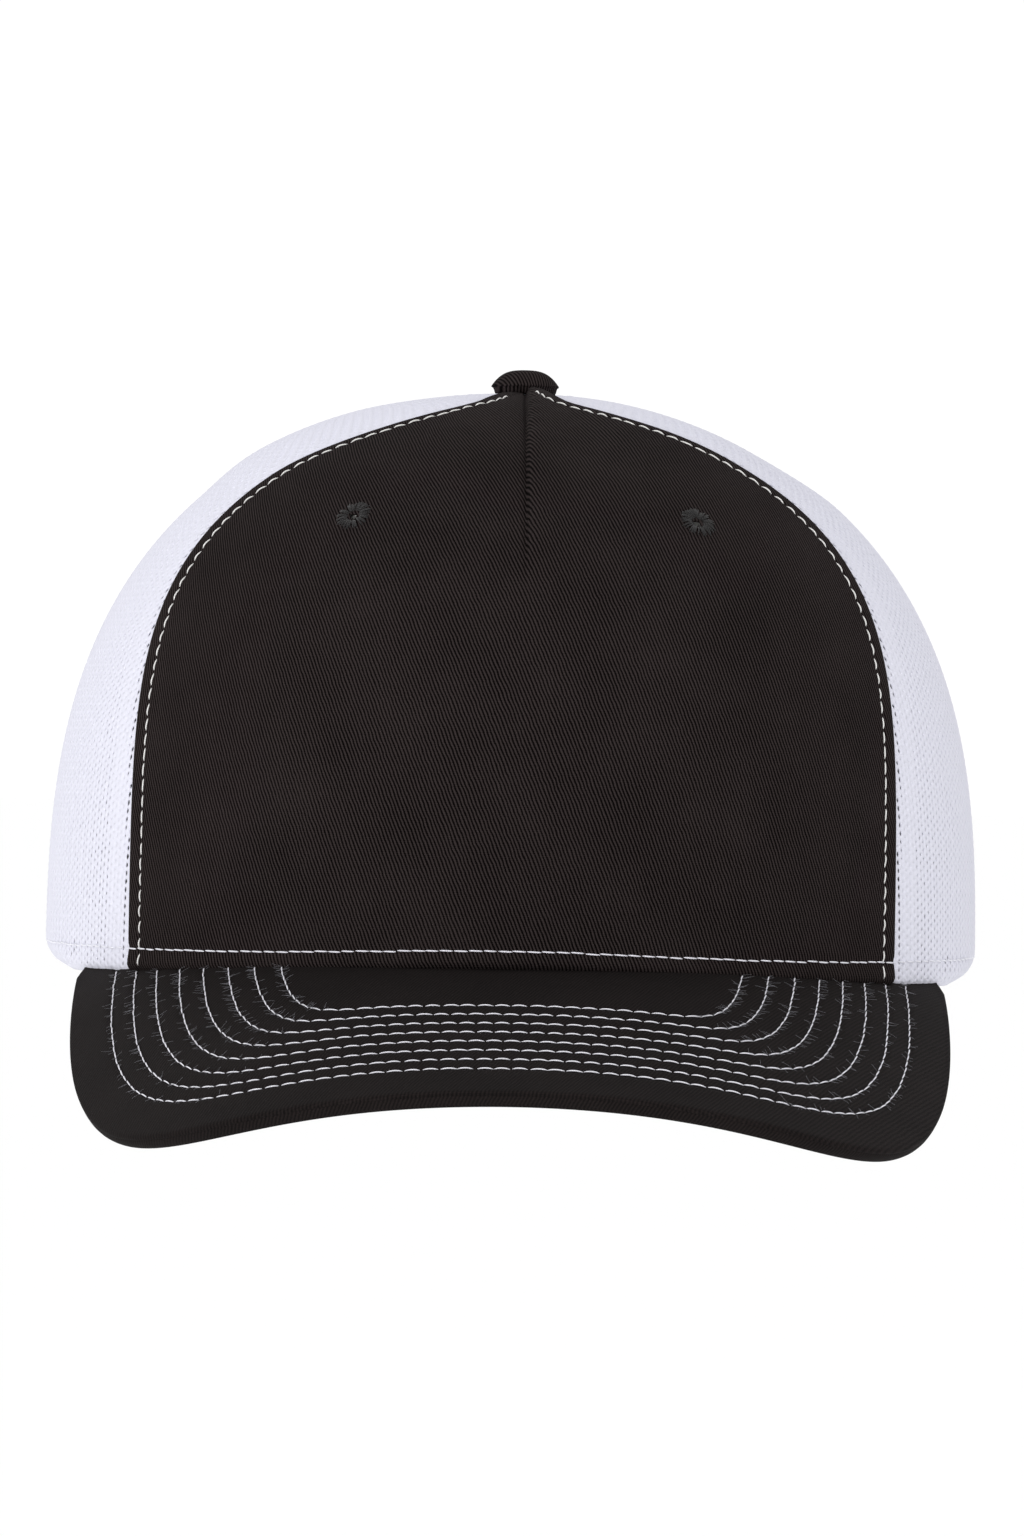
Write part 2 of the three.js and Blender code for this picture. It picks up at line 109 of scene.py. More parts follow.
def crown_radius(az, share):
    """The crown's radius in plan, at that share of its height."""
    s, c = np.sin(az), np.cos(az)
    front = c > 0
    rise = RISE["side"] * s * s + np.where(front, RISE["front"], RISE["back"]) * c * c
    bend = ROUND["side"] * s * s + np.where(front, ROUND["front"], ROUND["back"]) * c * c
    base = 1 / np.hypot(s / HALF_WIDTH, c / np.where(front, HALF_FRONT, HALF_BACK))
    return base * np.maximum(0, 1 - share**rise) ** (1 / bend)


def share_at(climb):
    return np.sin(np.clip(climb, 0, math.pi / 2)) ** CLIMB_POWER


def radius_at(az, climb):
    return crown_radius(az, share_at(climb))


def climb_at_height(z):
    return np.arcsin(np.clip(z / HEIGHT, 0, 1) ** (1 / CLIMB_POWER))


def rim_dip(az):
    """How far the rim hangs below its height at the middle of the front and back."""
    side = np.sin(az) ** 2
    return RIM_DROP + SIDE_DIP * side / (0.3 + 0.7 * side)


def shoulder_shift(az, share):
    """The shoulders lean a little to one side, and the front seams beside the button to the other."""
    side = smooth(np.abs(az), 0.9, 1.5)
    seam = smooth(np.abs(az), 0.25, 0.5) * (1 - side)
    lean = LEAN * side * smooth(share, 0.80, 0.90) + SWAY * seam * smooth(share, 0.84, 0.93)
    return lean * (1 - smooth(share, 0.965, 1))


def on_crown(az, climb):
    share = share_at(climb)
    r = crown_radius(az, share)
    z = HEIGHT * share - rim_dip(az) * (1 - share) ** 6
    return np.stack([r * np.sin(az) + shoulder_shift(az, share), -r * np.cos(az), z], -1)


def crown_normal(az, climb):
    step = 0.01
    low = np.clip(climb - step, 0.002, math.pi / 2 - 0.03)
    up = on_crown(az, low + 2 * step) - on_crown(az, low)
    around = on_crown(az + step, low + step) - on_crown(az - step, low + step)
    return unit(np.cross(around, up))


def in_crown(az, climb, lift=0.0):
    """A point of the crown, raised off its outer surface by lift."""
    az, climb, lift = together(az, climb, lift)
    return on_crown(az, climb) + lift[..., None] * crown_normal(az, climb)


def azimuth_at(x, share, back=False):
    """The azimuth, in front or at the back, at which the crown is that far out to the side."""
    az = np.zeros_like(np.asarray(x + share, float)) + (math.pi if back else 0)
    for _ in range(24):
        turn = np.arcsin(np.clip(x / np.maximum(crown_radius(az, share), 1e-6), -1, 1))
        az = math.pi - turn if back else turn
    return az


def front_seam(climb, least=SEAM_LEAST):
    share = share_at(climb)
    height = np.minimum(1, (share * HEIGHT + SEAM_DROP * smooth(share, 0.83, 0.96)) / SEAM_HEIGHT)
    seen = azimuth_at(SEAM_HALF_WIDTH * (1 - height**SEAM_RISE) ** SEAM_ROUND, share)
    return (seen + least + np.hypot(seen - least, SEAM_EASE)) / 2


def front_tape_seam(climb):
    return front_seam(climb, TAPE_LEAST)


def side_seam(climb):
    return SIDE_SEAM_RIM + (SIDE_SEAM_APEX - SIDE_SEAM_RIM) * climb / (math.pi / 2)


def meridian(az):
    """The curve straight up the crown at one azimuth."""
    return lambda climb: az + 0 * climb


def mirrored(seam):
    return lambda climb: -seam(climb)


def on_side(start, stop, right):
    """A patch's two side curves, mirrored if it is on the right side."""
    return (mirrored(stop), mirrored(start)) if right else (start, stop)


def beside(seam, length):
    """The curve that far round the crown from a seam."""
    return lambda climb: seam(climb) + length / np.maximum(APEX_RADIUS, radius_at(seam(climb), climb))


def surface_frame(az, climb):
    """Unit vectors across, up and out of the crown's surface at a point."""
    normal = crown_normal(np.array(az), np.array(climb))
    across = unit(np.cross([0, 0, 1.0], normal))
    return across, np.cross(normal, across), normal


def climb_table(az, high):
    """Climbs and the length along one meridian to each of them."""
    climbs = np.linspace(0, high, 600)
    return climbs, run_lengths(on_crown(np.full(600, az), climbs))


def climb_at_radius(radius):
    """The climb at which the crown's half width has shrunk to that radius."""
    climbs = np.linspace(0, math.pi / 2, 4000)
    return climbs[np.argmax(radius_at(np.full(4000, math.pi / 2), climbs) <= radius)]


APEX_CLIMB = climb_at_radius(APEX_RADIUS)
EYELET_CLIMB = climb_at_height(EYELET_Z)
EYELET_AZ = [azimuth_at(EYELET_SHIFT + x, share_at(EYELET_CLIMB)) for x in (EYELET_X, -EYELET_X)]


# ---------- the visor's surface ----------


def visor_height(x, y):
    """The upper face: it falls forwards, curves down at both sides and is tucked in at the seam."""
    t = (-y - 30) / 130
    sag = 0.0024 - 0.00464 * t + 0.00378 * t**2 + 0.00032 * t**3
    beyond = (np.hypot(x / HALF_WIDTH, y / HALF_FRONT) - 1) * HALF_FRONT
    side = x * x / (x * x + y * y + 1)
    tuck = (0.3 + 1.5 * side) * np.exp(-np.clip(beyond, 0, None) / 8)
    return 0.297 * (y + HALF_FRONT) - sag * x * x - 0.42e-6 * x**4 * t - 0.36 - tuck


def in_visor(x, y, lift=0.0):
    """A point of the visor, raised off its upper face by lift."""
    x, y, lift = together(x, y, lift)
    step = 0.4
    dzdx = (visor_height(x + step, y) - visor_height(x - step, y)) / (2 * step)
    dzdy = (visor_height(x, y + step) - visor_height(x, y - step)) / (2 * step)
    normal = unit(np.stack([-dzdx, -dzdy, np.ones_like(dzdx)], -1))
    return np.stack([x, y, visor_height(x, y)], -1) + lift[..., None] * normal


def oval(w, reach, p, q, turn):
    """A squared half oval in plan: the turn goes from -90 degrees on the right to 90 on the left."""
    side = np.sin(turn)
    ahead = (1 - np.abs(side) ** p) ** (1 / q)
    return w * side, VISOR_SIDE_Y - reach * ahead


def row_shape(i):
    """Width, reach and squarenesses of a row of visor stitches; row 8 is the outermost."""
    back = ROWS_OF_STITCHES - i
    width = 79.95 - (4.19 + 0.069 * back) * back
    return width, 117.16 - 5.15 * back, 4.77 + 1.11 * back, 3.68 - 0.2 * back


def row_distance(x, y, shape):
    """Roughly how far a point of the plan lies outside a row."""
    w, reach, p, q = shape
    a, b = np.abs(x) / w + 1e-6, np.maximum(VISOR_SIDE_Y - y, 0) / reach + 1e-6
    level = a**p + b**q - 1
    slope = np.hypot(p * a ** (p - 1) / w, q * b ** (q - 1) / reach)
    return level / np.maximum(slope, 1e-4)


# ---------- meshes ----------


def add_object(name, data):
    obj = bpy.data.objects.new(name, data)
    bpy.context.scene.collection.objects.link(obj)
    return obj


def new_object(name, verts, faces, material, uv):
    """An object from points in millimetres, lists of their indices and a cloth coordinate for each point."""
    mesh = bpy.data.meshes.new(name)
    mesh.from_pydata((np.asarray(verts, float) * MM).tolist(), [], [list(face) for face in faces])
    layer = mesh.uv_layers.new(name="cloth")
    loops = np.zeros(len(mesh.loops), np.int64)
    mesh.loops.foreach_get("vertex_index", loops)
    layer.data.foreach_set("uv", np.asarray(uv, np.float32)[loops].ravel())
    mesh.polygons.foreach_set("use_smooth", [True] * len(mesh.polygons))
    mesh.validate()
    mesh.materials.append(material)
    return add_object(name, mesh)


def finish_piece(obj, slot, *replaced, body="cap"):
    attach(obj, body)
    if replaced:
        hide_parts(*replaced)
    return obj


def grid_faces(rows, columns, flip=False, wrap=False):
    """Faces of a grid of rows by columns points; wrap joins its last column to the first."""
    i, j = np.meshgrid(np.arange(rows - 1), np.arange(columns - (not wrap)), indexing="ij")
    a, b = i * columns + j, i * columns + (j + 1) % columns
    order = (a, a + columns, b + columns, b) if flip else (a, b, b + columns, a + columns)
    return np.stack(order, -1).reshape(-1, 4)


def solid_sheet(name, outer, inner, quads, material, uv):
    """A closed slab between two copies of a sheet of quads, given as flat lists of points."""
    count = len(outer)
    under = quads[:, ::-1] + count
    edges = np.stack([quads, np.roll(quads, -1, axis=1)], -1).reshape(-1, 2)
    keys = edges[:, 0] * count + edges[:, 1]
    twins = edges[:, 1] * count + edges[:, 0]
    open_edges = edges[~np.isin(keys, twins)]
    a, b = open_edges[:, 0], open_edges[:, 1]
    sides = np.stack([b, a, a + count, b + count], 1)
    verts = np.concatenate([outer, inner])
    used, index = np.unique(np.concatenate([quads, under, sides]), return_inverse=True)
    return new_object(name, verts[used], index.reshape(-1, 4), material, np.concatenate([uv, uv])[used])


def shell(name, outer, inner, material, uv, keep=None):
    """A closed slab between two grids of points, each of shape (rows, columns, 3)."""
    quads = grid_faces(*outer.shape[:2])
    if keep is not None:
        quads = quads[keep.ravel()]
    return solid_sheet(name, outer.reshape(-1, 3), inner.reshape(-1, 3), quads, material, uv.reshape(-1, 2))


def crown_grid(start, stop, low, high, across, rows, middle=0.0):
    """Azimuths, climbs and cloth coordinates of a patch; across holds each column's share of the width."""
    climbs, lengths = climb_table(middle, math.pi / 2 - 0.01)
    low_s, high_s = np.interp([low, high], climbs, lengths)
    s = np.linspace(low_s, high_s, rows)
    climb = np.interp(s, lengths, climbs)
    az = start(climb)[:, None] * (1 - across) + stop(climb)[:, None] * across
    columns = len(across)
    climb = np.repeat(climb[:, None], columns, 1)
    width = (az - middle) * radius_at(az, climb)
    return az, climb, np.stack([width, np.repeat(s[:, None], columns, 1)], -1)


def hem_roll(az, height):
    """How far the hem turns inwards: a small fold at the front and back, and a wide curl at the sides."""
    away = np.degrees(np.abs(az))
    curl = smooth(away, 61, 84) * (1 - smooth(away, 118, 140))
    radius = 1.5 + 5.5 * curl
    turn = 0.97 * np.clip(1 - height / radius, 0, 1)
    return radius * (1 - np.sqrt(1 - turn**2))


# ---------- materials ----------


def nodes_of(name):
    material = bpy.data.materials.new(name)
    material.use_nodes = True
    tree = material.node_tree
    return material, tree, tree.nodes["Principled BSDF"]


def node(tree, kind, **values):
    made = tree.nodes.new(kind)
    for key, value in values.items():
        setattr(made, key, value)
    return made


def math_node(tree, operation, a, b=0.0):
    made = node(tree, "ShaderNodeMath", operation=operation)
    for socket, value in zip(made.inputs, (a, b)):
        if isinstance(value, (int, float)):
            socket.default_value = value
        else:
            tree.links.new(value, socket)
    return made.outputs[0]


def add(tree, a, b):
    return math_node(tree, "ADD", a, b)


def times(tree, a, b):
    return math_node(tree, "MULTIPLY", a, b)


def cloth_axes(tree):
    """The cloth's own coordinates, in millimetres along and across it."""
    source = node(tree, "ShaderNodeUVMap", uv_map="cloth")
    split = node(tree, "ShaderNodeSeparateXYZ")
    tree.links.new(source.outputs[0], split.inputs[0])
    return source.outputs[0], split.outputs[0], split.outputs[1]


def ridges(tree, x, y, angle, pitch):
    """Stripes at that angle, from -1 to 1."""
    c, s = math.cos(math.radians(angle)), math.sin(math.radians(angle))
    t = add(tree, times(tree, x, c), times(tree, y, s))
    return math_node(tree, "SINE", times(tree, t, 2 * math.pi / pitch))


def noise(tree, vector, scale, detail=3.0, rough=0.55):
    made = node(tree, "ShaderNodeTexNoise")
    made.inputs["Scale"].default_value = scale
    made.inputs["Detail"].default_value = detail
    made.inputs["Roughness"].default_value = rough
    tree.links.new(vector, made.inputs["Vector"])
    return made.outputs[0]


def paint(tree, shader, factor, low, high):
    """Base colour from low to high as the factor goes from 0 to 1."""
    mix = node(tree, "ShaderNodeMix", data_type="RGBA")
    tree.links.new(factor, mix.inputs[0])
    mix.inputs[6].default_value = (*low, 1)
    mix.inputs[7].default_value = (*high, 1)
    tree.links.new(mix.outputs[2], shader.inputs["Base Color"])


def ramp(tree, value, low, high):
    made = node(tree, "ShaderNodeMapRange")
    made.inputs[1].default_value = low
    made.inputs[2].default_value = high
    tree.links.new(value, made.inputs[0])
    return made.outputs[0]


def bump(tree, shader, height, distance, strength=1.0):
    made = node(tree, "ShaderNodeBump")
    made.inputs["Distance"].default_value = distance * MM
    made.inputs["Strength"].default_value = strength
    tree.links.new(height, made.inputs["Height"])
    tree.links.new(made.outputs[0], shader.inputs["Normal"])


def set_shader(shader, roughness, specular, sheen=0.0):
    shader.inputs["Roughness"].default_value = roughness
    shader.inputs["Specular IOR Level"].default_value = specular
    shader.inputs["Sheen Weight"].default_value = sheen


def twill(name, dark, light, angle=22.0, pitch=0.7, weight=0.55, roughness=0.9, specular=0.08):
    material, tree, shader = nodes_of(name)
    vector, x, y = cloth_axes(tree)
    wobble = times(tree, noise(tree, vector, 0.35, 2), 0.5)
    x = add(tree, x, wobble)
    line = times(tree, ridges(tree, x, y, angle, pitch), weight)
    yarn = times(tree, ridges(tree, x, y, 90, 0.36), 0.22)
    grain = times(tree, noise(tree, vector, 2.6, 3, 0.7), 1.3)
    lift = add(tree, add(tree, line, yarn), grain)
    patches = noise(tree, vector, 0.05, 4, 0.6)
    tone = add(tree, ramp(tree, lift, -0.1, 1.5), times(tree, patches, 0.5))
    paint(tree, shader, ramp(tree, tone, 0.3, 1.2), dark, light)
    set_shader(shader, roughness, specular)
    bump(tree, shader, lift, 0.09, 0.8)
    return material


def cloth(name, colour, shade, pattern, fibre, tones, surface, depth, strength=0.8):
    """Fibre noise over a regular pattern; tones are the heights at which shade and colour are reached."""
    material, tree, shader = nodes_of(name)
    vector, x, y = cloth_axes(tree)
    lift = add(tree, pattern(tree, x, y), noise(tree, vector, *fibre))
    paint(tree, shader, ramp(tree, lift, *tones), shade, colour)
    set_shader(shader, *surface)
    bump(tree, shader, lift, depth, strength)
    return material


def woven(name, colour, shade, pitch=0.6, roughness=0.85, depth=0.06):
    """Plain weave."""

    def weave(tree, x, y):
        return times(tree, times(tree, ridges(tree, x, y, 0, pitch), ridges(tree, x, y, 90, pitch)), 0.5)

    surface = (roughness, 0.25, 0.1)
    return cloth(name, colour, shade, weave, (1.6, 4, 0.7), (-0.2, 1.2), surface, depth)


def knit(name, colour, shade):
    def loops(tree, x, y):
        return times(tree, times(tree, ridges(tree, x, y, 62, 0.42), ridges(tree, x, y, -62, 0.42)), 0.5)

    surface = (0.75, 0.3, 0.1)
    return cloth(name, colour, shade, loops, (2.2, 4, 0.7), (-0.1, 1.1), surface, 0.07, 0.7)


def thread(name, colour, shade, roughness=0.6):
    def twist(tree, x, y):
        return times(tree, ridges(tree, x, y, 55, 0.34), 0.6)

    surface = (roughness, 0.35, 0.15)
    return cloth(name, colour, shade, twist, (5.0, 3, 0.7), (-0.3, 1.2), surface, 0.05)


def solid_material(name, colour, shade, roughness, metallic=0.0, scale=900.0, depth=0.01, specular=0.5):
    """Moulded plastic, sheet or metal: fine grain in the object's own space."""
    material, tree, shader = nodes_of(name)
    place = node(tree, "ShaderNodeTexCoord").outputs["Object"]
    grain = noise(tree, place, scale, 4, 0.6)
    broad = noise(tree, place, scale / 15, 2)
    tone = add(tree, times(tree, grain, 0.4), times(tree, broad, 0.6))
    paint(tree, shader, tone, shade, colour)
    worn = add(tree, times(tree, broad, 0.25), roughness - 0.1)
    tree.links.new(worn, shader.inputs["Roughness"])
    shader.inputs["Metallic"].default_value = metallic
    shader.inputs["Specular IOR Level"].default_value = specular
    bump(tree, shader, grain, depth, 0.5)
    return material


BLACK = twill("black_twill", (0.0006, 0.0001, 0.0001), (0.032, 0.0248, 0.0243), weight=0.85, specular=0.04)
# The visor's copy of the front's black twill, with a darker base colour: painted shade for the visor, which
# lies at a grazing angle under the crown's front.
SHADED_VISOR_BLACK = twill(
    "black_visor_twill_painted_shade", (0.001, 0.0004, 0.0004), (0.0125, 0.0088, 0.0085), weight=0.45, specular=0.125
)
WHITE_KNIT = knit("white_knit_mesh", (0.71, 0.71, 0.79), (0.62, 0.62, 0.71))
TAPE_CLOTH = woven("white_tape_weave", (0.86, 0.86, 0.88), (0.72, 0.72, 0.75), 0.7)
BINDING_CLOTH = woven("white_binding_twill", (0.74, 0.74, 0.8), (0.6, 0.6, 0.67), 0.8)
BAND_CLOTH = woven("white_sweatband_cloth", (0.86, 0.855, 0.85), (0.74, 0.73, 0.72), 0.5)
BUCKRAM = woven("white_buckram", (0.8, 0.79, 0.76), (0.6, 0.59, 0.57), 1.3, 0.7, 0.15)
WARM_THREAD = thread("warm_white_thread", (0.88, 0.86, 0.84), (0.6, 0.59, 0.58))
COOL_THREAD = thread("cool_white_thread", (0.88, 0.87, 0.93), (0.58, 0.57, 0.63))
WHITE_THREAD = thread("white_thread", (0.86, 0.86, 0.92), (0.68, 0.68, 0.75))
LINT = thread("white_lint", (0.36, 0.36, 0.4), (0.24, 0.24, 0.27))
BLACK_THREAD = thread("black_thread", (0.0145, 0.0134, 0.0136), (0.003, 0.0024, 0.0025), 0.95)
PLASTIC = solid_material("white_strap_plastic", (0.86, 0.86, 0.88), (0.8, 0.8, 0.83), 0.38)
BOARD = solid_material("visor_board_sheet", (0.7, 0.7, 0.67), (0.6, 0.6, 0.58), 0.55)
STEEL = solid_material("plated_steel", (0.62, 0.63, 0.64), (0.5, 0.51, 0.52), 0.35, 1.0)


# ---------- stitching ----------


def along(path, distances, values):
    """The values given for a polyline's points, at those distances from its start."""
    lengths = run_lengths(path)
    return np.stack([np.interp(distances, lengths, values[:, k]) for k in range(3)], -1)


# A stitch is a tube of rings; at each it is that thick and rises that high, as shares of its radius.
STITCH_SIDES, STITCH_PITCH = 6, 3.2
STITCH_GIRTH = np.array([0.5, 0.95, 1.0, 1.0, 0.95, 0.5])
STITCH_RISE = np.array([-0.9, 0.1, 0.55, 0.55, 0.1, -0.9])
STITCH_TURN = np.arange(STITCH_SIDES) * 2 * math.pi / STITCH_SIDES


def stitch_rings(points, normals, pitch, length, radius, lift, tilt):
    """The rings of every stitch along one path, and the length along the path to each ring."""
    total = run_lengths(points)[-1]
    count = max(1, int(round(total / pitch)))
    share = np.linspace(0, 1, len(STITCH_RISE))
    starts = (np.arange(count) + 0.5) * total / count - length / 2 + RNG.normal(0, 0.06, count)
    sizes = length * (1 + RNG.normal(0, 0.04, count))
    at = np.clip(starts[:, None] + share * sizes[:, None], 0, total)
    centre = along(points, at, points)
    normal = unit(along(points, at, normals))
    binormal = unit(np.cross(unit(np.gradient(centre, axis=1)), normal))
    sway = RNG.normal(0, 0.05, (count, 1, 1)) + tilt * (2 * share[:, None] - 1)
    centre = centre + sway * binormal + (lift + radius * STITCH_RISE)[:, None] * normal
    cosine, sine = np.cos(STITCH_TURN)[:, None], np.sin(STITCH_TURN)[:, None]
    circle = cosine * binormal[:, :, None] + sine * normal[:, :, None]
    return centre[:, :, None] + (radius * STITCH_GIRTH)[:, None, None] * circle, at


def stitches(
    name, paths, material, slot="white_lining",
    pitch=STITCH_PITCH, length=2.6, radius=0.2, lift=0.1, tilt=0.12,
):
    """Thread along each path, a pair of point and normal arrays: one rounded stitch for each pitch."""
    made = [stitch_rings(*path, pitch, length, radius, lift, tilt) for path in paths]
    verts = np.concatenate([rings.reshape(-1, 3) for rings, _ in made])
    at = np.concatenate([lengths.ravel() for _, lengths in made])
    uv = np.stack(together(STITCH_TURN / (2 * math.pi) * 0.9, at[:, None]), -1).reshape(-1, 2)
    rings, circle = len(STITCH_RISE), np.arange(STITCH_SIDES)
    firsts = np.arange(0, len(verts), rings * STITCH_SIDES)[:, None]
    tubes = (grid_faces(rings, STITCH_SIDES, wrap=True)[:, ::-1] + firsts[:, None]).reshape(-1, 4)
    start_caps = firsts + circle
    stop_caps = firsts + (rings - 1) * STITCH_SIDES + circle[::-1]
    faces = [*tubes.tolist(), *start_caps.tolist(), *stop_caps.tolist()]
    return finish_piece(new_object(name, verts, faces, material, uv), slot)


def crown_path(az, climb, lift=0.0):
    """Points of the crown, raised by lift, and the outward normal at each."""
    az, climb = together(az, climb)
    return in_crown(az, climb, lift), crown_normal(az, climb)


def inside_path(az, climb, lift):
    """Points of the crown with inward normals, for stitches seen from inside."""
    points, normals = crown_path(az, climb, lift)
    return points, -normals


# ---------- front panel ----------

FRONT_LIFT = 0.45
EDGE_STITCH = 4.1
HEM_STITCH_Z, HEM_STITCH_RISE = 3.5, 1.2
DART_LENGTH, DART_X = 95.0, 1.0
EYELET_HOLE = 0.9
VISOR_END = (math.radians(61), math.radians(71))


def hem_line(az):
    """Height of the row of stitches above the hem."""
    return HEM_STITCH_Z + HEM_STITCH_RISE * np.sin(az) ** 2


def front_relief(az, climb, uv):
    """How far the front cloth stands off the crown's surface."""
    edge = (front_seam(climb) - np.abs(az)) * radius_at(az, climb)
    x, height = uv[..., 0], uv[..., 1]
    roll = np.sqrt(np.clip(1 - (1 - np.clip(edge, 0, 1.3) / 1.3) ** 2, 0, 1))
    relief = FRONT_LIFT * roll
    seam_fade = 0.7 + 0.3 * np.cos(2 * math.pi * height / STITCH_PITCH)
    relief = relief - 0.25 * bell(edge, EDGE_STITCH, 0.55) * seam_fade
    hem_fade = 0.7 + 0.3 * np.cos(2 * math.pi * x / STITCH_PITCH)
    relief = relief - 0.3 * bell(height, hem_line(az) + 0.2, 0.6) * hem_fade
    relief = relief + 0.25 * bell(height, 1.6, 1.2) - hem_roll(az, height)
    return relief + dart_relief(x, height) + 0.12 * (
        np.sin(x / 17 + 1.3) * np.sin(height / 23 + 0.4) + 0.6 * np.sin(x / 9.1 - height / 31 + 2)
    )


def dart_relief(x, height):
    """The sewn dart below the button: a crease with a hollow on one side and a fuller lip on the other."""
    down = climb_table(0.0, APEX_CLIMB)[1][-1] - height
    fade = 1 - smooth(down, DART_LENGTH - 14, DART_LENGTH)
    wander = x - DART_X - 0.4 * smooth(down, 20, DART_LENGTH)
    crease = -0.35 * bell(wander, 0, 0.45)
    hollow = -0.6 * np.exp(np.minimum(wander, 0) / 3.5)
    right = np.maximum(wander, 0)
    lip = 1.0 * right / 2.4 * np.exp(1 - right / 2.4) - 0.6 * np.exp(-right / 0.4)
    puckers = 0.1 * np.sin(height / 1.1) * bell(wander, 1.6, 1.4)
    sides = np.where(wander < 0, hollow, lip) * (1 - 0.35 * smooth(down, 30, DART_LENGTH))
    return fade * (crease + sides + puckers)


def fine_columns(count, centre, edge):
    """Shares of a patch's width, with extra columns close to its middle and to its two edges."""
    rim = np.linspace(0, edge, 12)
    middle = 0.5 + np.linspace(-centre, centre, 48)
    return np.unique(np.concatenate([np.linspace(0, 1, count), rim, 1 - rim, middle]))


def front_path(az, climb):
    """Points along the front cloth's own surface, with their normals."""
    az, climb = together(az, climb)
    height = np.interp(climb, *climb_table(0.0, APEX_CLIMB))
    width = az * radius_at(az, climb)
    return crown_path(az, climb, front_relief(az, climb, np.stack([width, height], -1)) + 0.02)


def build_front():
    across = fine_columns(240, 0.03, 0.012)
    az, climb, uv = crown_grid(mirrored(front_seam), front_seam, 0.0, APEX_CLIMB, across, 230)
    relief = front_relief(az, climb, uv)
    outer = in_crown(az, climb, relief)
    inner = in_crown(az, climb, relief - TWILL_THICKNESS)
    middle = outer.reshape(-1, 3)[grid_faces(*az.shape)].mean(1)
    keep = np.ones(len(middle), bool)
    for place in EYELET_AZ:
        eyelet = in_crown(place, EYELET_CLIMB, 0.4)
        keep &= np.linalg.norm(middle - eyelet, axis=1) > EYELET_HOLE
    panel = shell("front_twill", outer, inner, BLACK, uv, keep)
    finish_piece(panel, "black_twill", "front_panel")


def build_front_stitches():
    """A row beside each front seam, and the row above the hem."""
    climbs, lengths = climb_table(0.0, APEX_CLIMB)
    climbs = np.interp(np.linspace(1.0, lengths[-1] - 3, 400), lengths, climbs)
    seam = beside(front_seam, -EDGE_STITCH)(climbs)
    apart = seam > math.radians(8)
    edges = [front_path(side * seam[apart], climbs[apart]) for side in (1, -1)]
    stitches("front_edge_stitches", edges, WARM_THREAD, length=2.7, radius=0.16, tilt=0.09)

    reach = front_seam(climb_at_height(HEM_STITCH_Z)) - 0.3 / HALF_WIDTH
    az = np.linspace(-reach, reach, 300)
    hem = front_path(az, climb_at_height(hem_line(az)))
    stitches("front_hem_stitches", [hem], COOL_THREAD, pitch=2.9, length=2.75, radius=0.17, tilt=0.06)


def build_seam_allowances():
    """The front cloth's turned-back edge, which lies behind the mesh along each front seam."""
    ends = climb_at_height(3), climb_at_radius(SEAM_END_RADIUS)
    for name, right in (("left", False), ("right", True)):
        span = on_side(beside(front_seam, -4.5), beside(front_seam, 3.6), right)
        crown_strip(
            f"front_allowance_{name}", span, ends, (14, 120), 0.95, 0.4, BLACK, "black_twill",
            middle=-FRONT_SEAM_MIDDLE if right else FRONT_SEAM_MIDDLE,
        )


def build_visor_allowances():
    """The ends of the visor cloth's turned-in edge, behind the mesh just above the hem."""
    ends = climb_at_height(1.5), climb_at_height(7.0)
    for name, side in (("left", 1), ("right", -1)):
        low, high = sorted(side * az for az in VISOR_END)
        crown_strip(
            f"visor_allowance_{name}", (meridian(low), meridian(high)), ends, (10, 8), 0.9, 0.4,
            SHADED_VISOR_BLACK, "black_twill", middle=(low + high) / 2,
        )


# ---------- knitted mesh panels ----------

HOLE_PITCH, WALE_PITCH = 1.7, 1.5
HOLE_HALF_HEIGHT, HOLE_HALF_WIDTH = 0.32, 0.24
KNIT_HALF_THICKNESS, HOLE_HALF_THICKNESS = 0.26, 0.12
# Where the holes low on the side mesh are pulled open.
WORN_AZ, WORN_HEIGHT = math.radians(67), 4.6
MIDDLE_CLIMB = 0.3
HEM_STITCH_END = math.radians(147)


def opening_clear(point, margin):
    """True outside the arched opening at the back, grown by margin."""
    x, y, z = point[..., 0], point[..., 1], point[..., 2]
    inside = (x / (OPENING_HALF_WIDTH + margin)) ** 2 + (z / (OPENING_HEIGHT + margin)) ** 2 < 1
    return ~(inside & (y > 0))


def knit_cells(place, total):
    """Centres of the knit's hexagonal cells that fall on the panel."""
    half = HALF_WIDTH * 0.75
    columns = np.arange(-int(half / WALE_PITCH), int(half / WALE_PITCH) + 1)
    rows = np.arange(-1, int(total / HOLE_PITCH) + 2)
    i, j = (a.ravel() for a in np.meshgrid(columns, rows, indexing="ij"))
    p, q = i * WALE_PITCH, (j + 0.5 * (i % 2)) * HOLE_PITCH
    az, climb, low, high = place(p, q)
    spill = WALE_PITCH / 2 / np.maximum(radius_at(az, climb), 1)
    keep = (az > low - spill) & (az < high + spill) & (q > -HOLE_PITCH / 2) & (q < total)
    keep &= opening_clear(on_crown(az, climb), 1.5)
    return np.stack([p[keep], q[keep]], -1)


def seam_distance(az, climb, low, high):
    """The length round the crown to the nearer of a panel's two seams."""
    return np.minimum(az - low, high - az) * radius_at(az, climb)


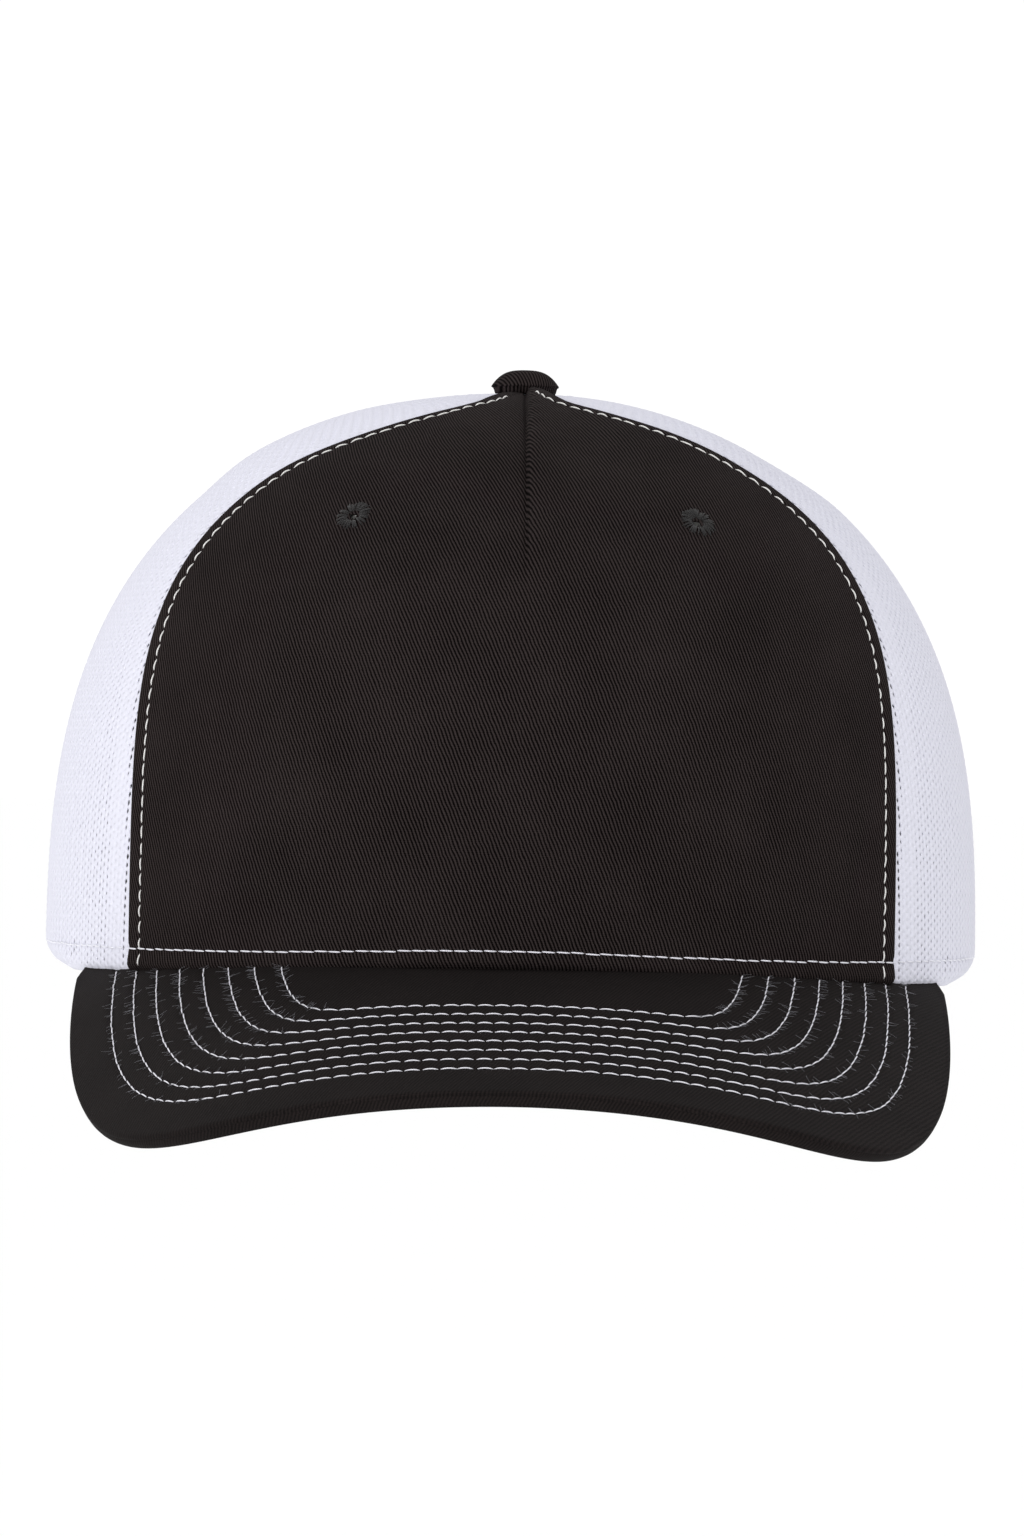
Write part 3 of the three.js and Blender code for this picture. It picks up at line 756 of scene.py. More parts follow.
def hole_sizes(cells, spot, front_side):
    """How far each hole is open: wide in the row beside the front seam, small over its doubled cloth."""
    az, climb = spot[:2]
    size = smooth(seam_distance(*spot), 0.7, 2.2) * (1 + RNG.normal(0, 0.1, len(cells)))
    if front_side:
        beyond = (np.abs(az) - front_seam(climb)) * radius_at(az, climb)
        size = smooth(beyond, 0.8, 1.1) * (size + 0.6 * bell(beyond, 1.7, 0.7))
        doubled = smooth(beyond, 2.3, 3.0) * (1 - smooth(beyond, 7.0, 9.5))
        size = size * (1 - 0.75 * doubled)
        around = (np.abs(az) - WORN_AZ) * HALF_WIDTH
        worn = np.hypot(around / 2.6, (cells[:, 1] - WORN_HEIGHT) / 1.8) < 1
        size = size + worn * RNG.uniform(0, 1.3, len(cells))
    return np.clip(size * smooth(cells[:, 1], 0.3, 1.5), 0.02, 1.7)


def knit_panel(name, start, stop, replaced, front_side):
    """Hexagonal cells with a hole in each, cut to the panel's seams."""
    climbs, lengths = climb_table((start(MIDDLE_CLIMB) + stop(MIDDLE_CLIMB)) / 2, APEX_CLIMB)
    total = lengths[-1]

    def place(p, q):
        climb = np.interp(q, lengths, climbs)
        low, high = start(climb), stop(climb)
        middle = (low + high) / 2
        az = middle + p / np.maximum(radius_at(middle, climb), 1e-3)
        return az, climb, low, high

    cells = knit_cells(place, total)
    a, b, half = WALE_PITCH / 3, WALE_PITCH * 2 / 3, HOLE_PITCH / 2
    corner = np.array([[b, 0], [a, half], [-a, half], [-b, 0], [-a, -half], [a, -half]])
    corners = (cells[:, None] + corner).reshape(-1, 2)
    keys = np.round(corners * 40).astype(int)
    _, first, which = np.unique(keys, axis=0, return_index=True, return_inverse=True)

    size = hole_sizes(cells, place(cells[:, 0], cells[:, 1]), front_side)[:, None, None]
    hole = corner * [HOLE_HALF_WIDTH / b, HOLE_HALF_HEIGHT / half]
    holes = (cells[:, None] + hole * size + RNG.normal(0, 0.02, (len(cells), 6, 2))).reshape(-1, 2)
    flat = np.concatenate([corners[first], holes])
    ridge = np.repeat([KNIT_HALF_THICKNESS, HOLE_HALF_THICKNESS], [len(first), len(holes)])

    az, climb, low, high = place(flat[:, 0], flat[:, 1])
    az = np.clip(az, low, high)
    height = np.clip(flat[:, 1], 0, total)
    seam = seam_distance(az, climb, low, high)
    rib = 0.05 * np.cos(2 * math.pi * flat[:, 0] / (2 * WALE_PITCH))
    pillow = 0.26 * bell(seam, 1.3, 0.6) - 0.45 * bell(seam, 0, 0.5)
    base = -0.35 - hem_roll(az, height) + pillow + rib - 0.12 * bell(seam, 2.4, 0.4)

    c = which.reshape(-1, 6)
    h = len(first) + np.arange(len(holes)).reshape(-1, 6)
    quads = np.stack([c, np.roll(c, -1, 1), np.roll(h, -1, 1), h], -1).reshape(-1, 4)
    outer, inner = in_crown(az, climb, base + ridge), in_crown(az, climb, base - ridge)
    finish_piece(solid_sheet(name, outer, inner, quads, WHITE_KNIT, flat), "white_mesh", replaced)


def build_mesh_panels():
    tuck = 1.6  # the mesh runs on under the front panel's folded edge
    for name, right in (("left", False), ("right", True)):
        spans = {
            f"side_mesh_{name}": (beside(front_seam, -tuck), side_seam),
            f"rear_mesh_{name}": (side_seam, meridian(math.pi)),
        }
        for cad_name, span in spans.items():
            knit_panel(f"knit_{cad_name}", *on_side(*span, right), cad_name, cad_name.startswith("side"))


def build_mesh_stitches():
    """Two rows beside each side seam and the rear seam, and one row round the hem."""
    top = climb_at_radius(SEAM_END_RADIUS)
    rows = []
    seams = (side_seam, 1.0), (mirrored(side_seam), 1.0), (meridian(math.pi), OPENING_HEIGHT + 9.5)
    for seam, bottom in seams:
        climbs = np.linspace(climb_at_height(bottom), top, 300)
        for offset in (-2.4, 2.4):
            az = beside(seam, offset)(climbs)
            height = np.interp(climbs, *climb_table(math.pi / 2, top))
            rows.append(crown_path(az, climbs, -0.12 - hem_roll(az, height)))
    start = front_seam(climb_at_height(HEM_STITCH_Z)) + 1.5 / HALF_WIDTH
    for side in (1, -1):
        az = side * np.linspace(start, HEM_STITCH_END, 400)
        height = hem_line(az)
        rows.append(crown_path(az, climb_at_height(height), -0.1 - hem_roll(az, height)))
    stitches("mesh_seam_stitches", rows, WHITE_THREAD, radius=0.17)


# ---------- tapes, lining and sweatband ----------

TAPE_HALF_WIDTH, TAPE_MOST_TURN = 5.5, math.radians(13)


def crown_strip(
    name, span, ends, counts, depth, thickness, material, slot, replaced=(), middle=0.0, wave=0.0
):
    """A strip of cloth that deep below the crown's surface, rippled by wave.

    span holds its two side curves, ends its lowest and highest climb, counts its columns and rows.
    """
    az, climb, uv = crown_grid(*span, *ends, np.linspace(0, 1, counts[0]), counts[1], middle)
    ripple = wave * np.sin(uv[..., 1] / 2.1) * np.sin(uv[..., 0] / 3.7)
    lift = ripple - depth - hem_roll(az, uv[..., 1])
    obj = shell(name, in_crown(az, climb, lift), in_crown(az, climb, lift - thickness), material, uv)
    finish_piece(obj, slot, *replaced)


def build_tape(name, seam, bottom, middle):
    """A tape over the inside of one seam, with a row of stitches near each edge."""

    def edge(side):
        def curve(climb):
            turn = TAPE_HALF_WIDTH / np.maximum(APEX_RADIUS, radius_at(seam(climb), climb))
            return seam(climb) + side * np.minimum(turn, TAPE_MOST_TURN)

        return curve

    low, high = climb_at_height(bottom), climb_at_radius(LINING_END_RADIUS)
    crown_strip(
        f"woven_{name}", (edge(-1), edge(1)), (low, high), (15, 140), 2.2, 0.5,
        TAPE_CLOTH, "white_lining", [name], middle, 0.12,
    )
    climbs = np.linspace(low + 0.01, high - 0.02, 300)
    height = np.interp(climbs, *climb_table(middle, high))
    rows = []
    for side in (-0.72, 0.72):
        az = edge(side)(climbs)
        rows.append(inside_path(az, climbs, -2.75 - hem_roll(az, height)))
    stitches(f"{name}_stitches", rows, WHITE_THREAD)


def build_tapes():
    seams = {
        "front_seam_tape_left": (front_tape_seam, 2.0, FRONT_SEAM_MIDDLE),
        "front_seam_tape_right": (mirrored(front_tape_seam), 2.0, -FRONT_SEAM_MIDDLE),
        "side_seam_tape_left": (side_seam, 2.0, SIDE_SEAM_RIM),
        "side_seam_tape_right": (mirrored(side_seam), 2.0, -SIDE_SEAM_RIM),
        "rear_seam_tape": (meridian(math.pi), OPENING_HEIGHT + 9, math.pi),
        "dart_tape": (meridian(0.0), HEIGHT - 34, 0.0),
    }
    for name, (seam, bottom, middle) in seams.items():
        build_tape(name, seam, bottom, middle)


def build_lining():
    inset = beside(front_seam, -5)
    ends = climb_at_height(2.0), climb_at_radius(LINING_END_RADIUS)
    crown_strip(
        "buckram_sheet", (mirrored(inset), inset), ends, (120, 120), 1.15, 0.6,
        BUCKRAM, "white_lining", ["front_buckram"], 0.0, 0.08,
    )


# Depth and height of the band's section: it turns up inside the hem.
SWEAT_PROFILE = [
    (1.4, 0.4), (2.3, -0.2), (3.4, 0.4), (3.9, 2.0), (4.0, 8.0), (4.1, 24.0), (4.0, 31.0), (3.8, 33.4),
]
SWEAT_ROWS = (30.6, 3.6)


def walk_profile(profile, count):
    """Even lengths along a section's outline, and its two coordinates at each of them."""
    profile = np.array(profile)
    lengths = run_lengths(profile)
    s = np.linspace(0, lengths[-1], count)
    return s, np.interp(s, lengths, profile[:, 0]), np.interp(s, lengths, profile[:, 1])


def build_sweatband():
    s, depth, z = walk_profile(SWEAT_PROFILE, 46)
    az = np.linspace(-SWEAT_END, SWEAT_END, 420)
    s, depth, z, az = together(s[:, None], depth[:, None], z[:, None], az)
    depth = depth + hem_roll(az, np.maximum(z, 0))
    gather = 0.18 * np.sin(az * HALF_WIDTH / 2.6) * bell(z, 3, 4) + 0.1 * np.sin(az * 23 + z / 6)
    quilt = sum(-0.35 * bell(z, height, 0.7) for height in SWEAT_ROWS)
    climb = climb_at_height(np.maximum(z, 0.0))
    points = in_crown(az, climb, -depth - gather - quilt)
    back = in_crown(az, climb, -depth + 0.5)
    points[..., 2] += np.minimum(z, 0)
    back[..., 2] += np.minimum(z, 0) + np.where(z < 2, 0.5, 0)
    obj = shell("sweatband_cloth", back, points, BAND_CLOTH, np.stack([az * HALF_WIDTH, s], -1))
    finish_piece(obj, "white_lining", "sweatband")
    az = np.linspace(-SWEAT_END + 0.01, SWEAT_END - 0.01, 900)
    rows = []
    for height in SWEAT_ROWS:
        rows.append(inside_path(az, climb_at_height(height), -3.75 - hem_roll(az, height)))
    stitches("sweatband_stitches", rows, WHITE_THREAD, pitch=3.6, length=2.8)


# ---------- rear opening ----------

# Distance out from the arch's edge and depth of the folded binding's section.
BINDING_FOLD = [
    (8.0, -0.62), (5.0, -0.68), (2.0, -0.66), (0.2, -0.6), (-0.7, -0.2), (-0.95, 0.5),
    (-0.7, 1.1), (0.2, 1.5), (2.0, 1.55), (5.0, 1.57), (8.0, 1.5),
]
BINDING_MIDDLE = 0.45


def on_arch(turn, out, depth):
    """A point beside the opening's arch; out is its distance from the arch's edge."""
    z = np.maximum((OPENING_HEIGHT + out) * np.sin(turn), 0.4)
    x = (OPENING_HALF_WIDTH + out) * np.cos(turn)
    az = azimuth_at(x, z / HEIGHT, back=True)
    return in_crown(az, climb_at_height(z), -depth)


def build_binding():
    s, out, depth = walk_profile(BINDING_FOLD, 56)
    turn = np.linspace(0.012, math.pi - 0.012, 260)
    s, out, depth, turn = together(s[:, None], out[:, None], depth[:, None], turn)
    length = turn * OPENING_HEIGHT
    pucker = 0.1 * np.sin(length / 1.3) * bell(out, 6.6, 1.5) + 0.06 * np.sin(length / 5.1 + out)
    off = depth - BINDING_MIDDLE
    side = np.sign(off)
    middle = np.where(np.abs(off) > 0.5, side * 0.5, off)
    outer = on_arch(turn, out, depth + side * pucker)
    inner = on_arch(turn, out + 0.45 * bell(out, 0, 1.2), depth - middle)
    obj = shell("binding_tape", outer, inner, BINDING_CLOTH, np.stack([length, s], -1))
    finish_piece(obj, "white_mesh", "rear_opening_binding")
    rows = []
    turn = np.linspace(0.03, math.pi - 0.03, 500)
    for out in (1.7, 6.6):
        outward = unit(on_arch(turn, out, -1.0) - on_arch(turn, out, 0.0))
        rows.append((on_arch(turn, out, -0.62), outward))
        rows.append((on_arch(turn, out, 1.55), -outward))
    stitches("binding_stitches", rows, WHITE_THREAD, pitch=3.0, length=2.4, radius=0.18)


# ---------- snap strap ----------

# Angles are in degrees from the back's centre, and lengths along the strap in millimetres.
STRAP_MIDDLE_Z, STRAP_HALF_HEIGHT, STRAP_PITCH, STRAP_THICKNESS = 11.0, 9.0, 4.6, 1.1
STRAP_RADIUS = 94.5
STRAP_SEWN_END = 35.0
OUTER_DEPTH, INNER_DEPTH = 2.2, 3.6
HOLES, FIRST_HOLE, HOLE_RADIUS, HOLE_STRAP_END = 7, -12.4, 2.7, -16.0
PEGS, FIRST_PEG, PEG_STRAP_END = 5, 6.0, 10.0
STRAP_TIP = 3.2
# Where the peg half steps in under the hole half, and where each half would bend if it were opened.
JOG, STRAP_BEND = (16.0, 21.0), (24.5, 18.5)
# Radius and height of a peg's section.
PEG_PROFILE = [
    (1.35, -0.3), (1.3, 0.2), (1.25, 1.1), (1.32, 1.3), (1.6, 1.55), (1.62, 1.72), (1.35, 2.0),
    (0.8, 2.18), (0.02, 2.24),
]


def strap_length(angle):
    """Length along the strap from the back's centre to that angle."""
    return math.radians(angle) * STRAP_RADIUS


def weld(blocks):
    """Joins blocks of flat points and quads wherever their points meet."""
    points = np.concatenate([b[0] for b in blocks])
    starts = np.cumsum([0] + [len(b[0]) for b in blocks[:-1]])
    quads = np.concatenate([b[1] + start for b, start in zip(blocks, starts)])
    _, first, which = np.unique(np.round(points, 3), axis=0, return_index=True, return_inverse=True)
    return points[first], which.ravel()[quads]


def flat_block(along_s, across_h):
    s, h = np.meshgrid(along_s, across_h, indexing="ij")
    return np.stack([s.ravel(), h.ravel()], -1), grid_faces(*s.shape, flip=True)


def holed_block(middle, half, radius, count):
    """A square of the strap round one hole, with count points on each side of the square."""
    t = np.linspace(-1, 1, count + 1)[:-1]
    one = np.ones(count)
    square = half * np.concatenate([
        np.stack([one, t], -1), np.stack([-t, one], -1), np.stack([-one, -t], -1), np.stack([t, -one], -1),
    ])
    circle = radius * unit(square)
    rings = np.array([0, 0.12, 0.3, 0.6, 1.0])[:, None, None]
    points = circle * (1 - rings) + square * rings + [middle, 0]
    return points.reshape(-1, 2), grid_faces(len(rings), 4 * count, flip=True, wrap=True)


def strap_sheet(end, holes):
    """The flat strap from its free end to its sewn end, as points and quads."""
    count = 10
    half = strap_length(STRAP_PITCH) / 2
    inner = np.linspace(-half, half, count + 1)
    outer = np.linspace(half, STRAP_HALF_HEIGHT, 7)
    first, last = strap_length(end), strap_length(STRAP_SEWN_END)
    middles = [strap_length(hole) for hole in holes]
    blocks = [holed_block(middle, half, HOLE_RADIUS, count) for middle in middles]
    holed = np.concatenate([middle + inner for middle in middles]) if holes else np.array([first])
    lead = np.linspace(first, holed[0], 9) if holed[0] > first + 0.1 else holed[:1]
    rest = np.linspace(holed[-1], last, int((last - holed[-1]) / 0.7))
    blocks += [flat_block(plain, inner) for plain in (lead, rest) if len(plain) > 1]
    whole = np.unique(np.round(np.concatenate([lead, holed, rest]), 6))
    blocks += [flat_block(whole, outer), flat_block(whole, -outer[::-1])]
    return weld(blocks)


def build_strap(name, side, end, holes, depth_at, replaced):
    flat, quads = strap_sheet(end, holes)
    s, h = flat[:, 0], flat[:, 1]
    angle = np.degrees(s / STRAP_RADIUS)
    from_end = np.clip(1 - (angle - end) / STRAP_TIP, 0, 1)
    h = h * (1 - 0.45 * from_end**2.5)
    ring = np.full(len(s), np.inf)
    for hole in holes:
        ring = np.minimum(ring, np.hypot(s - strap_length(hole), flat[:, 1]) - HOLE_RADIUS)
    border = STRAP_HALF_HEIGHT - np.abs(flat[:, 1])
    relief = 0.22 * bell(ring, 0, 0.55) + 0.18 * bell(border, 0.9, 0.6)
    edge = np.minimum(border, s - s.min())
    rounding = 0.28 * np.clip(1 - edge / 0.5, 0, 1) ** 2
    az = math.pi - side * np.radians(angle)
    climb = climb_at_height(STRAP_MIDDLE_Z + h)
    outer = in_crown(az, climb, relief - rounding - depth_at(angle))
    inner = in_crown(az, climb, rounding - STRAP_THICKNESS - depth_at(angle))
    if side > 0:
        quads = quads[:, ::-1]
    obj = solid_sheet(name, outer, inner, quads, PLASTIC, flat)
    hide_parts(*replaced)
    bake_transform(obj)


def peg_depth(angle):
    return INNER_DEPTH + (OUTER_DEPTH - INNER_DEPTH) * smooth(angle, *JOG)


def build_pegs():
    verts, faces = [], []
    climb = climb_at_height(STRAP_MIDDLE_Z)
    for i in range(PEGS):
        angle = -FIRST_PEG + i * STRAP_PITCH
        az = math.pi + math.radians(angle)
        points, quads = turned(PEG_PROFILE, 28)
        centre = in_crown(az, climb, -peg_depth(angle))
        faces.append(quads + i * len(points))
        verts.append(centre + points @ np.stack(surface_frame(az, climb)))
    verts = np.concatenate(verts)
    obj = new_object("peg_strap_pegs", verts, np.concatenate(faces), PLASTIC, verts[:, ::2])
    finish_piece(obj, "strap_plastic", body="peg_strap_half")


def build_straps():
    holes = [FIRST_HOLE + i * STRAP_PITCH for i in range(HOLES)]
    build_strap(
        "hole_strap_band", 1, HOLE_STRAP_END, holes, lambda angle: OUTER_DEPTH + 0 * angle,
        ["hole_strap", "hole_strap_sewn_end"],
    )
    build_strap(
        "peg_strap_band", -1, -PEG_STRAP_END, [], peg_depth,
        ["peg_strap", "peg_strap_sewn_end"],
    )
    build_pegs()


# ---------- button and eyelets ----------


def turned(profile, turns):
    """Points and quads of a closed or open profile of radius and height pairs, turned about Z."""
    profile = np.asarray(profile, float)
    turn = np.arange(turns) / turns * 2 * math.pi
    r, z = profile[:, :1], profile[:, 1:]
    points = np.stack([r * np.cos(turn), r * np.sin(turn), z + 0 * turn], -1).reshape(-1, 3)
    return points, grid_faces(len(profile), turns, wrap=True)


BUTTON_BASE = (0.9, 0.0, HEIGHT + 0.3)
# Radius and height of the covered button's section: its dome, and the cloth drawn in under it.
DOME = [(7.1 * t, 1.3 + 3.35 * (1 - t**3.2)) for t in np.linspace(1, 0.003, 26)]
SKIRT = [(5.6, -0.6), (6.2, -0.45), (6.45, 0.0), (6.6, 0.5), (6.72, 0.8), (6.85, 0.95), (7.12, 1.1)]


def build_button():
    profile = np.array(SKIRT + DOME)
    turns = 120
    points, quads = turned(profile, turns)
    turn = np.tile(np.arange(turns) / turns * 2 * math.pi, len(profile))
    gather = np.repeat(np.clip(1 - profile[:, 1] / 2.5, 0, 1) ** 2, turns)
    pleat = 0.09 * gather * (np.sin(9 * turn + 0.7) + 0.6 * np.sin(14 * turn))
    outward = np.stack([np.cos(turn), np.sin(turn), 0 * turn], -1)
    outer = points + pleat[:, None] * outward
    inner = points * [0.93, 0.93, 0.9] + [0, 0, 0.05]
    uv = points[:, :2] * (1 + 0.04 * (5 - points[:, 2:]))
    lift = np.array(BUTTON_BASE)
    obj = solid_sheet("button_twill", outer + lift, inner + lift, quads, BLACK, uv)
    finish_piece(obj, "black_twill", "button_cover")


def build_button_metal():
    """The pressed shell under the cloth, and the rivet and washer inside the crown."""
    lift = np.array(BUTTON_BASE)
    metal = {
        "button_shell": [(6.3, 0.0), (6.3, 0.4), (5.9, 1.6), (4.6, 2.9), (2.6, 3.65), (0.02, 3.9)],
        "button_rivet": [
            (0.02, -4.5), (2.3, -4.5), (2.65, -4.4), (2.7, -4.2), (2.6, -4.02), (1.5, -4.0),
            (1.5, 1.7), (2.6, 1.75), (2.7, 2.0), (2.6, 2.4), (0.02, 2.5),
        ],
        "button_washer": [
            (1.85, -3.65), (6.2, -3.7), (6.45, -3.6), (6.5, -3.4), (6.4, -3.2), (6.0, -3.1),
            (1.85, -3.15), (1.85, -3.65),
        ],
    }
    for name, shape in metal.items():
        points, quads = turned(shape, 64)
        uv = points[:, :2]
        if name == "button_shell":
            obj = solid_sheet("pressed_shell", points + lift, points * 0.92 + lift, quads, STEEL, uv)
        else:
            obj = new_object(f"plated_{name}", points + lift, quads, STEEL, uv)
        finish_piece(obj, "button_steel", name)


EYELET_THREADS = 76
# How high an eyelet's thread stands over the cloth, from the hole outwards.
EYELET_ARCH = 0.3 * np.sin(np.linspace(0.0, math.pi, 7)) ** 0.7 - np.array([0.8, 0.1, 0, 0, 0, 0, 0])


def eyelet_path(centre, across, up, normal, turn):
    """One thread from the hole outwards, leaning a little to one side."""
    lean = turn + RNG.normal(0, 0.16)
    out = math.cos(turn) * across + math.sin(turn) * up
    far = math.cos(lean) * across + math.sin(lean) * up
    inner, outer = 1.0 + RNG.normal(0, 0.1), 4.0 + RNG.normal(0, 0.25)
    rise = EYELET_ARCH * RNG.uniform(0.5, 1.2)
    share = np.linspace(0, 1, len(rise))[:, None]
    points = centre + inner * out * (1 - share) + outer * far * share + rise[:, None] * normal
    slope = np.gradient(rise, np.linspace(inner, outer, len(rise)))
    return points, unit(normal[None] - slope[:, None] * out)


def build_eyelets():
    for name, place in zip(("left", "right"), EYELET_AZ):
        centre = in_crown(place, EYELET_CLIMB, 0.4)
        axes = surface_frame(place, EYELET_CLIMB)
        paths = []
        for k in range(EYELET_THREADS):
            turn = 2 * math.pi * (k + RNG.normal(0, 0.35)) / EYELET_THREADS
            paths.append(eyelet_path(centre, *axes, turn))
        obj = stitches(
            f"eyelet_thread_{name}", paths, BLACK_THREAD, "black_twill",
            pitch=9, length=3.0, radius=0.13, lift=0.08, tilt=0,
        )
        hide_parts(f"eyelet_{name}")


# ---------- visor ----------


def visor_seam(u):
    tip = azimuth_at(EDGE[0] - 0.3, 0.0)
    az = tip * (2 * u - 1)
    return on_crown(az, 0 * az)[..., :2]


def visor_grid(columns, rows, overlap, trim=0.0):
    """Rows of plan points from the outer edge to the seam; trim is the share left out at each end."""
    u = np.linspace(trim, 1 - trim, columns)
    turn = EDGE_TURN * (2 * u - 1)
    edge = np.stack(oval(*EDGE, turn), -1)
    seam = visor_seam(u) * (1 - overlap / HALF_FRONT)
    v = np.linspace(0, 1, rows) ** 1.15
    return edge[None] * (1 - v[:, None, None]) + seam[None] * v[:, None, None]


def quilting(x, y):
    relief = 0.0
    for i in range(1, ROWS_OF_STITCHES + 1):
        d = row_distance(x, y, row_shape(i))
        relief = relief - 0.3 * bell(d, 0, 0.65)
    return relief


def visor_cover(name, base, outward, replaced):
    """One face of the visor; outward is 1 for the upper face and -1 for the lower one."""
    plan = visor_grid(321, 130, 1.2)
    x, y = plan[..., 0], plan[..., 1]
    edge_distance = np.linalg.norm(plan - plan[0], axis=-1)
    roll = 0.55 * (1 - np.sqrt(np.clip(1 - (1 - np.clip(edge_distance, 0, 1.1) / 1.1) ** 2, 0, 1)))
    swell = 0.12 * np.sin(x / 23 + 0.7) * np.sin(y / 19)
    relief = quilting(x, y) - roll + swell * np.clip(edge_distance / 6, 0, 1)
    outer = in_visor(x, y, base + outward * relief)
    inner = in_visor(x, y, base + outward * (relief - TWILL_THICKNESS))
    if outward < 0:
        outer, inner = inner, outer
    uv = np.stack([x, np.hypot(y, visor_height(x, y))], -1)
    obj = shell(name, outer, inner, SHADED_VISOR_BLACK, uv)
    finish_piece(obj, "black_twill", *replaced)


# Inset from the outline and height of the folded edge's section, from the upper face to the lower.
EDGE_FOLD = [
    (1.4, -0.45), (0.75, -0.38), (0.3, -0.5), (0.02, -0.85), (-0.12, -1.3), (-0.16, -1.9),
    (-0.1, -2.5), (0.1, -2.95), (0.4, -3.2), (0.9, -3.25), (1.4, -3.0),
]


def build_visor_edge():
    outline = np.stack(oval(*EDGE, EDGE_TURN * np.linspace(-1, 1, 520)), -1)
    tips = visor_seam(np.array([0.0, 1.0]))
    start, end = np.linspace(tips[0], outline[0], 8)[:-1], np.linspace(outline[-1], tips[1], 8)[1:]
    outline = np.concatenate([start, outline, end])
    tangent = unit(np.gradient(outline, axis=0))
    inward = np.stack([-tangent[:, 1], tangent[:, 0]], -1)
    x, y = outline.T

    def ring(inset, lift):
        return in_visor(x + inward[:, 0] * inset, y + inward[:, 1] * inset, lift)

    fold = EDGE_FOLD[::-1]
    outer = np.stack([ring(inset, lift) for inset, lift in fold])
    inner = np.stack([ring(inset * 0.6 + 0.8, lift * 0.7 - 0.55) for inset, lift in fold])
    width = -1.3 * np.array(fold)[:, 1:]
    uv = np.stack(together(run_lengths(outline), width), -1)
    obj = shell("visor_edge_twill", outer, inner, SHADED_VISOR_BLACK, uv)
    finish_piece(obj, "black_twill", "visor_edge_band")


def build_board():
    plan = visor_grid(161, 60, 0.6, trim=0.02)
    inward = unit(plan[-1] - plan[0])
    plan = plan + 1.3 * inward[None] * np.linspace(1, 0, 60)[:, None, None]
    x, y = plan[..., 0], plan[..., 1]
    obj = shell("visor_board_sheet", in_visor(x, y, -0.85), in_visor(x, y, -2.5), BOARD, plan)
    finish_piece(obj, "visor_board", "visor_board")


def visor_rows(base, outward):
    paths = []
    for i in range(1, ROWS_OF_STITCHES + 1):
        turn = ROW_TURN * np.sin(np.linspace(-math.pi / 2, math.pi / 2, 1200))
        x, y = oval(*row_shape(i), turn)
        clear = (x / HALF_WIDTH) ** 2 + (y / HALF_FRONT) ** 2 > 1.0
        x, y = x[clear], y[clear]
        normals = unit(in_visor(x, y, 1.0) - in_visor(x, y, 0.0)) * outward
        paths.append((in_visor(x, y, base - 0.16 * outward), normals))
    return paths


def build_lint(rows):
    """Short loose fibres along the sides of the visor's rows, where needle and thread drew them out."""
    hairs = []
    for points, normals in rows:
        tangent = unit(np.gradient(points, axis=0))
        steep = np.flatnonzero(np.abs(tangent[:, 1]) > 0.35)
        for k in RNG.choice(steep, 130):
            across = np.cross(normals[k], tangent[k]) * RNG.choice([-1, 1], p=[0.75, 0.25])
            way = unit(across + tangent[k] * RNG.normal(0, 0.35) + normals[k] * RNG.uniform(0.05, 0.35))
            curl = RNG.normal(0, 0.05, 3)
            t = np.linspace(0, RNG.uniform(0.6, 2.2), 6)[:, None]
            hair = points[k] + normals[k] * 0.2 + way * t + curl * t**2
            hairs.append((hair, np.repeat(normals[k][None], 6, 0)))
    stitches("visor_lint", hairs, LINT, pitch=9, length=5, radius=0.016, lift=0.1, tilt=0)


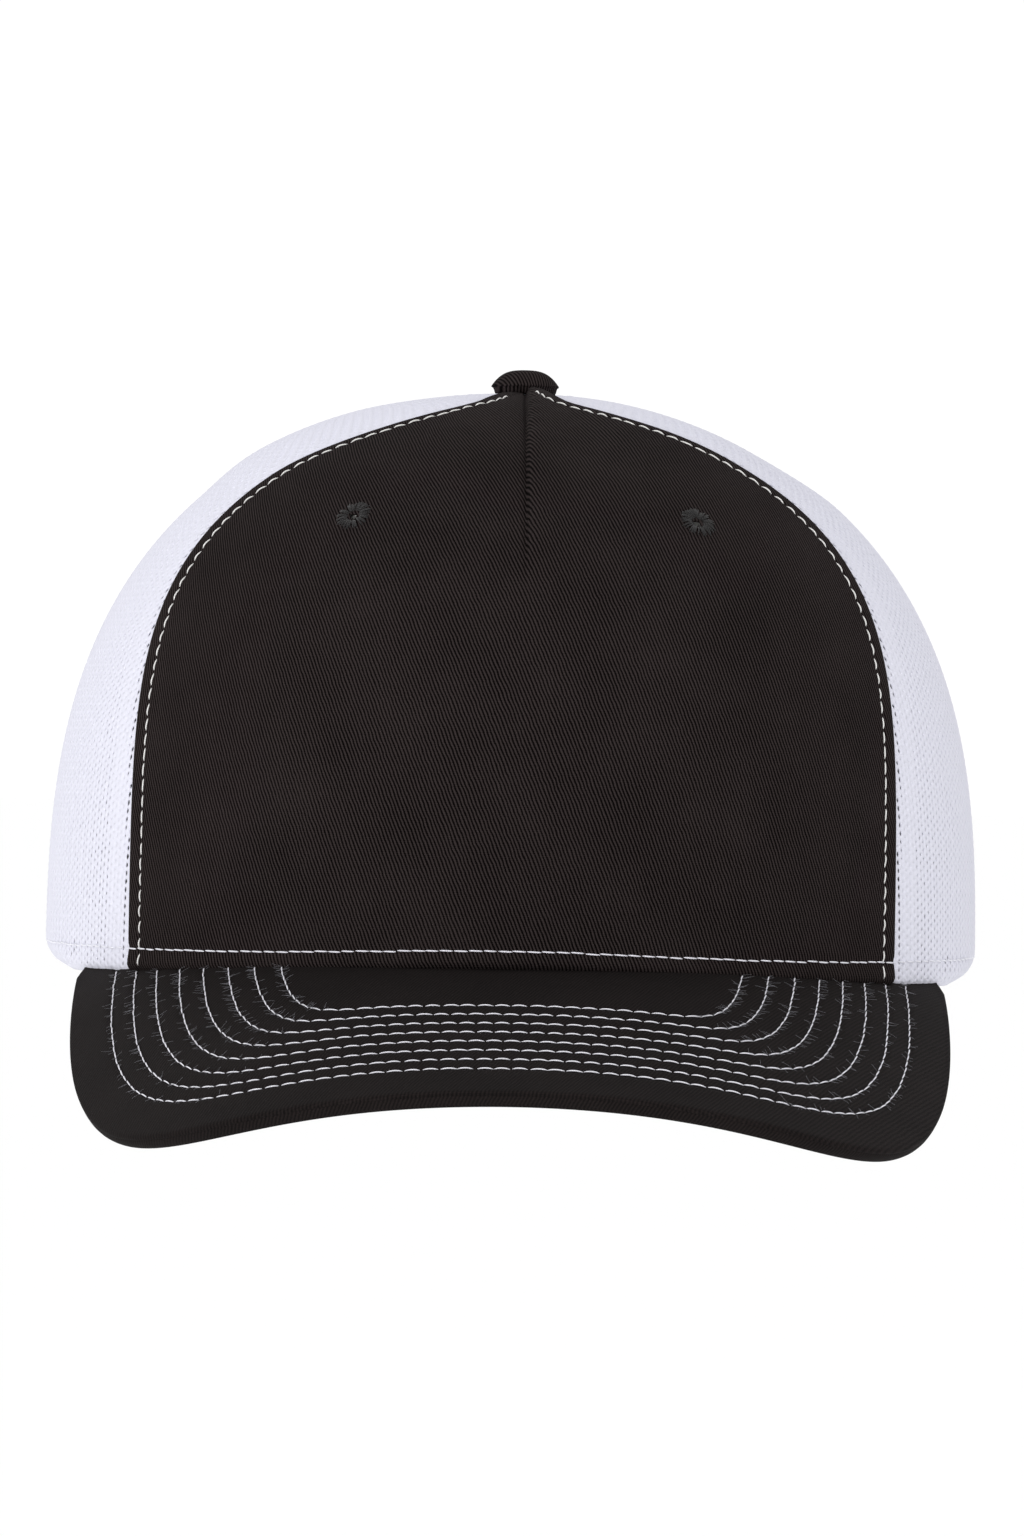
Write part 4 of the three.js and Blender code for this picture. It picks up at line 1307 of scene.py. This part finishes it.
def build_visor():
    visor_cover("visor_top_twill", 0.0, 1, ["visor_top_cover"])
    visor_cover("visor_under_twill", -VISOR_THICKNESS, -1, ["visor_under_cover"])
    build_visor_edge()
    build_board()
    look = dict(pitch=3.4, length=3.05, radius=0.145, lift=0.05, tilt=0.06)
    top_rows = visor_rows(0.0, 1)
    stitches("visor_top_stitches", top_rows, COOL_THREAD, **look)
    stitches("visor_under_stitches", visor_rows(-VISOR_THICKNESS, -1), COOL_THREAD, **look)
    build_lint(top_rows)


# ---------- stage and camera ----------


def area_light(name, place, target, size, power):
    data = bpy.data.lights.new(name, "AREA")
    data.shape = "RECTANGLE"
    data.size, data.size_y = size
    data.energy = power
    light = add_object(name, data)
    light.location = place
    light.rotation_euler = (Vector(target) - Vector(place)).to_track_quat("-Z", "Y").to_euler()


def build_stage():
    reach, level = 60, -0.3
    mesh = bpy.data.meshes.new("studio_floor")
    corners = [(x * reach, y * reach, level) for x, y in ((-1, -1), (1, -1), (1, 1), (-1, 1))]
    mesh.from_pydata(corners, [], [(0, 1, 2, 3)])
    material, _, shader = nodes_of("studio_floor_paint")
    shader.inputs["Base Color"].default_value = (0.97, 0.97, 0.97, 1)
    shader.inputs["Roughness"].default_value = 0.9
    mesh.materials.append(material)
    floor = add_object("studio_floor", mesh)

    world = bpy.data.worlds.new("studio")
    bpy.context.scene.world = world
    world.use_nodes = True
    sky = world.node_tree.nodes["Background"].inputs
    sky["Color"].default_value = (1, 1, 1, 1)
    sky["Strength"].default_value = 1.03
    area_light("key_light", (-1.2, -1.5, 0.25), (0, 0, 0.04), (0.9, 0.9), 3.8)
    area_light("low_light", (-0.35, -1.85, -0.2), (0, 0, 0.02), (0.9, 0.5), 15)


def build_camera():
    data = bpy.data.cameras.new("camera")
    data.lens = 167.0
    data.sensor_width = 36.0
    data.clip_end = 100
    data.shift_x = -0.0011
    camera = add_object("camera", data)
    distance, height = 1.5, 0.03933
    turn, tilt = math.radians(0.24), math.radians(-1.07)
    camera.location = (-distance * math.sin(turn), -distance * math.cos(turn), height)
    camera.rotation_euler = (math.pi / 2, tilt, -turn)
    bpy.context.scene.camera = camera


# ---------- build ----------

build_front()
build_front_stitches()
build_seam_allowances()
build_visor_allowances()
build_mesh_panels()
build_mesh_stitches()
build_tapes()
build_lining()
build_sweatband()
build_binding()
build_straps()
build_button()
build_button_metal()
build_eyelets()
build_visor()
build_stage()
build_camera()
bpy.context.scene.view_settings.view_transform = "Standard"
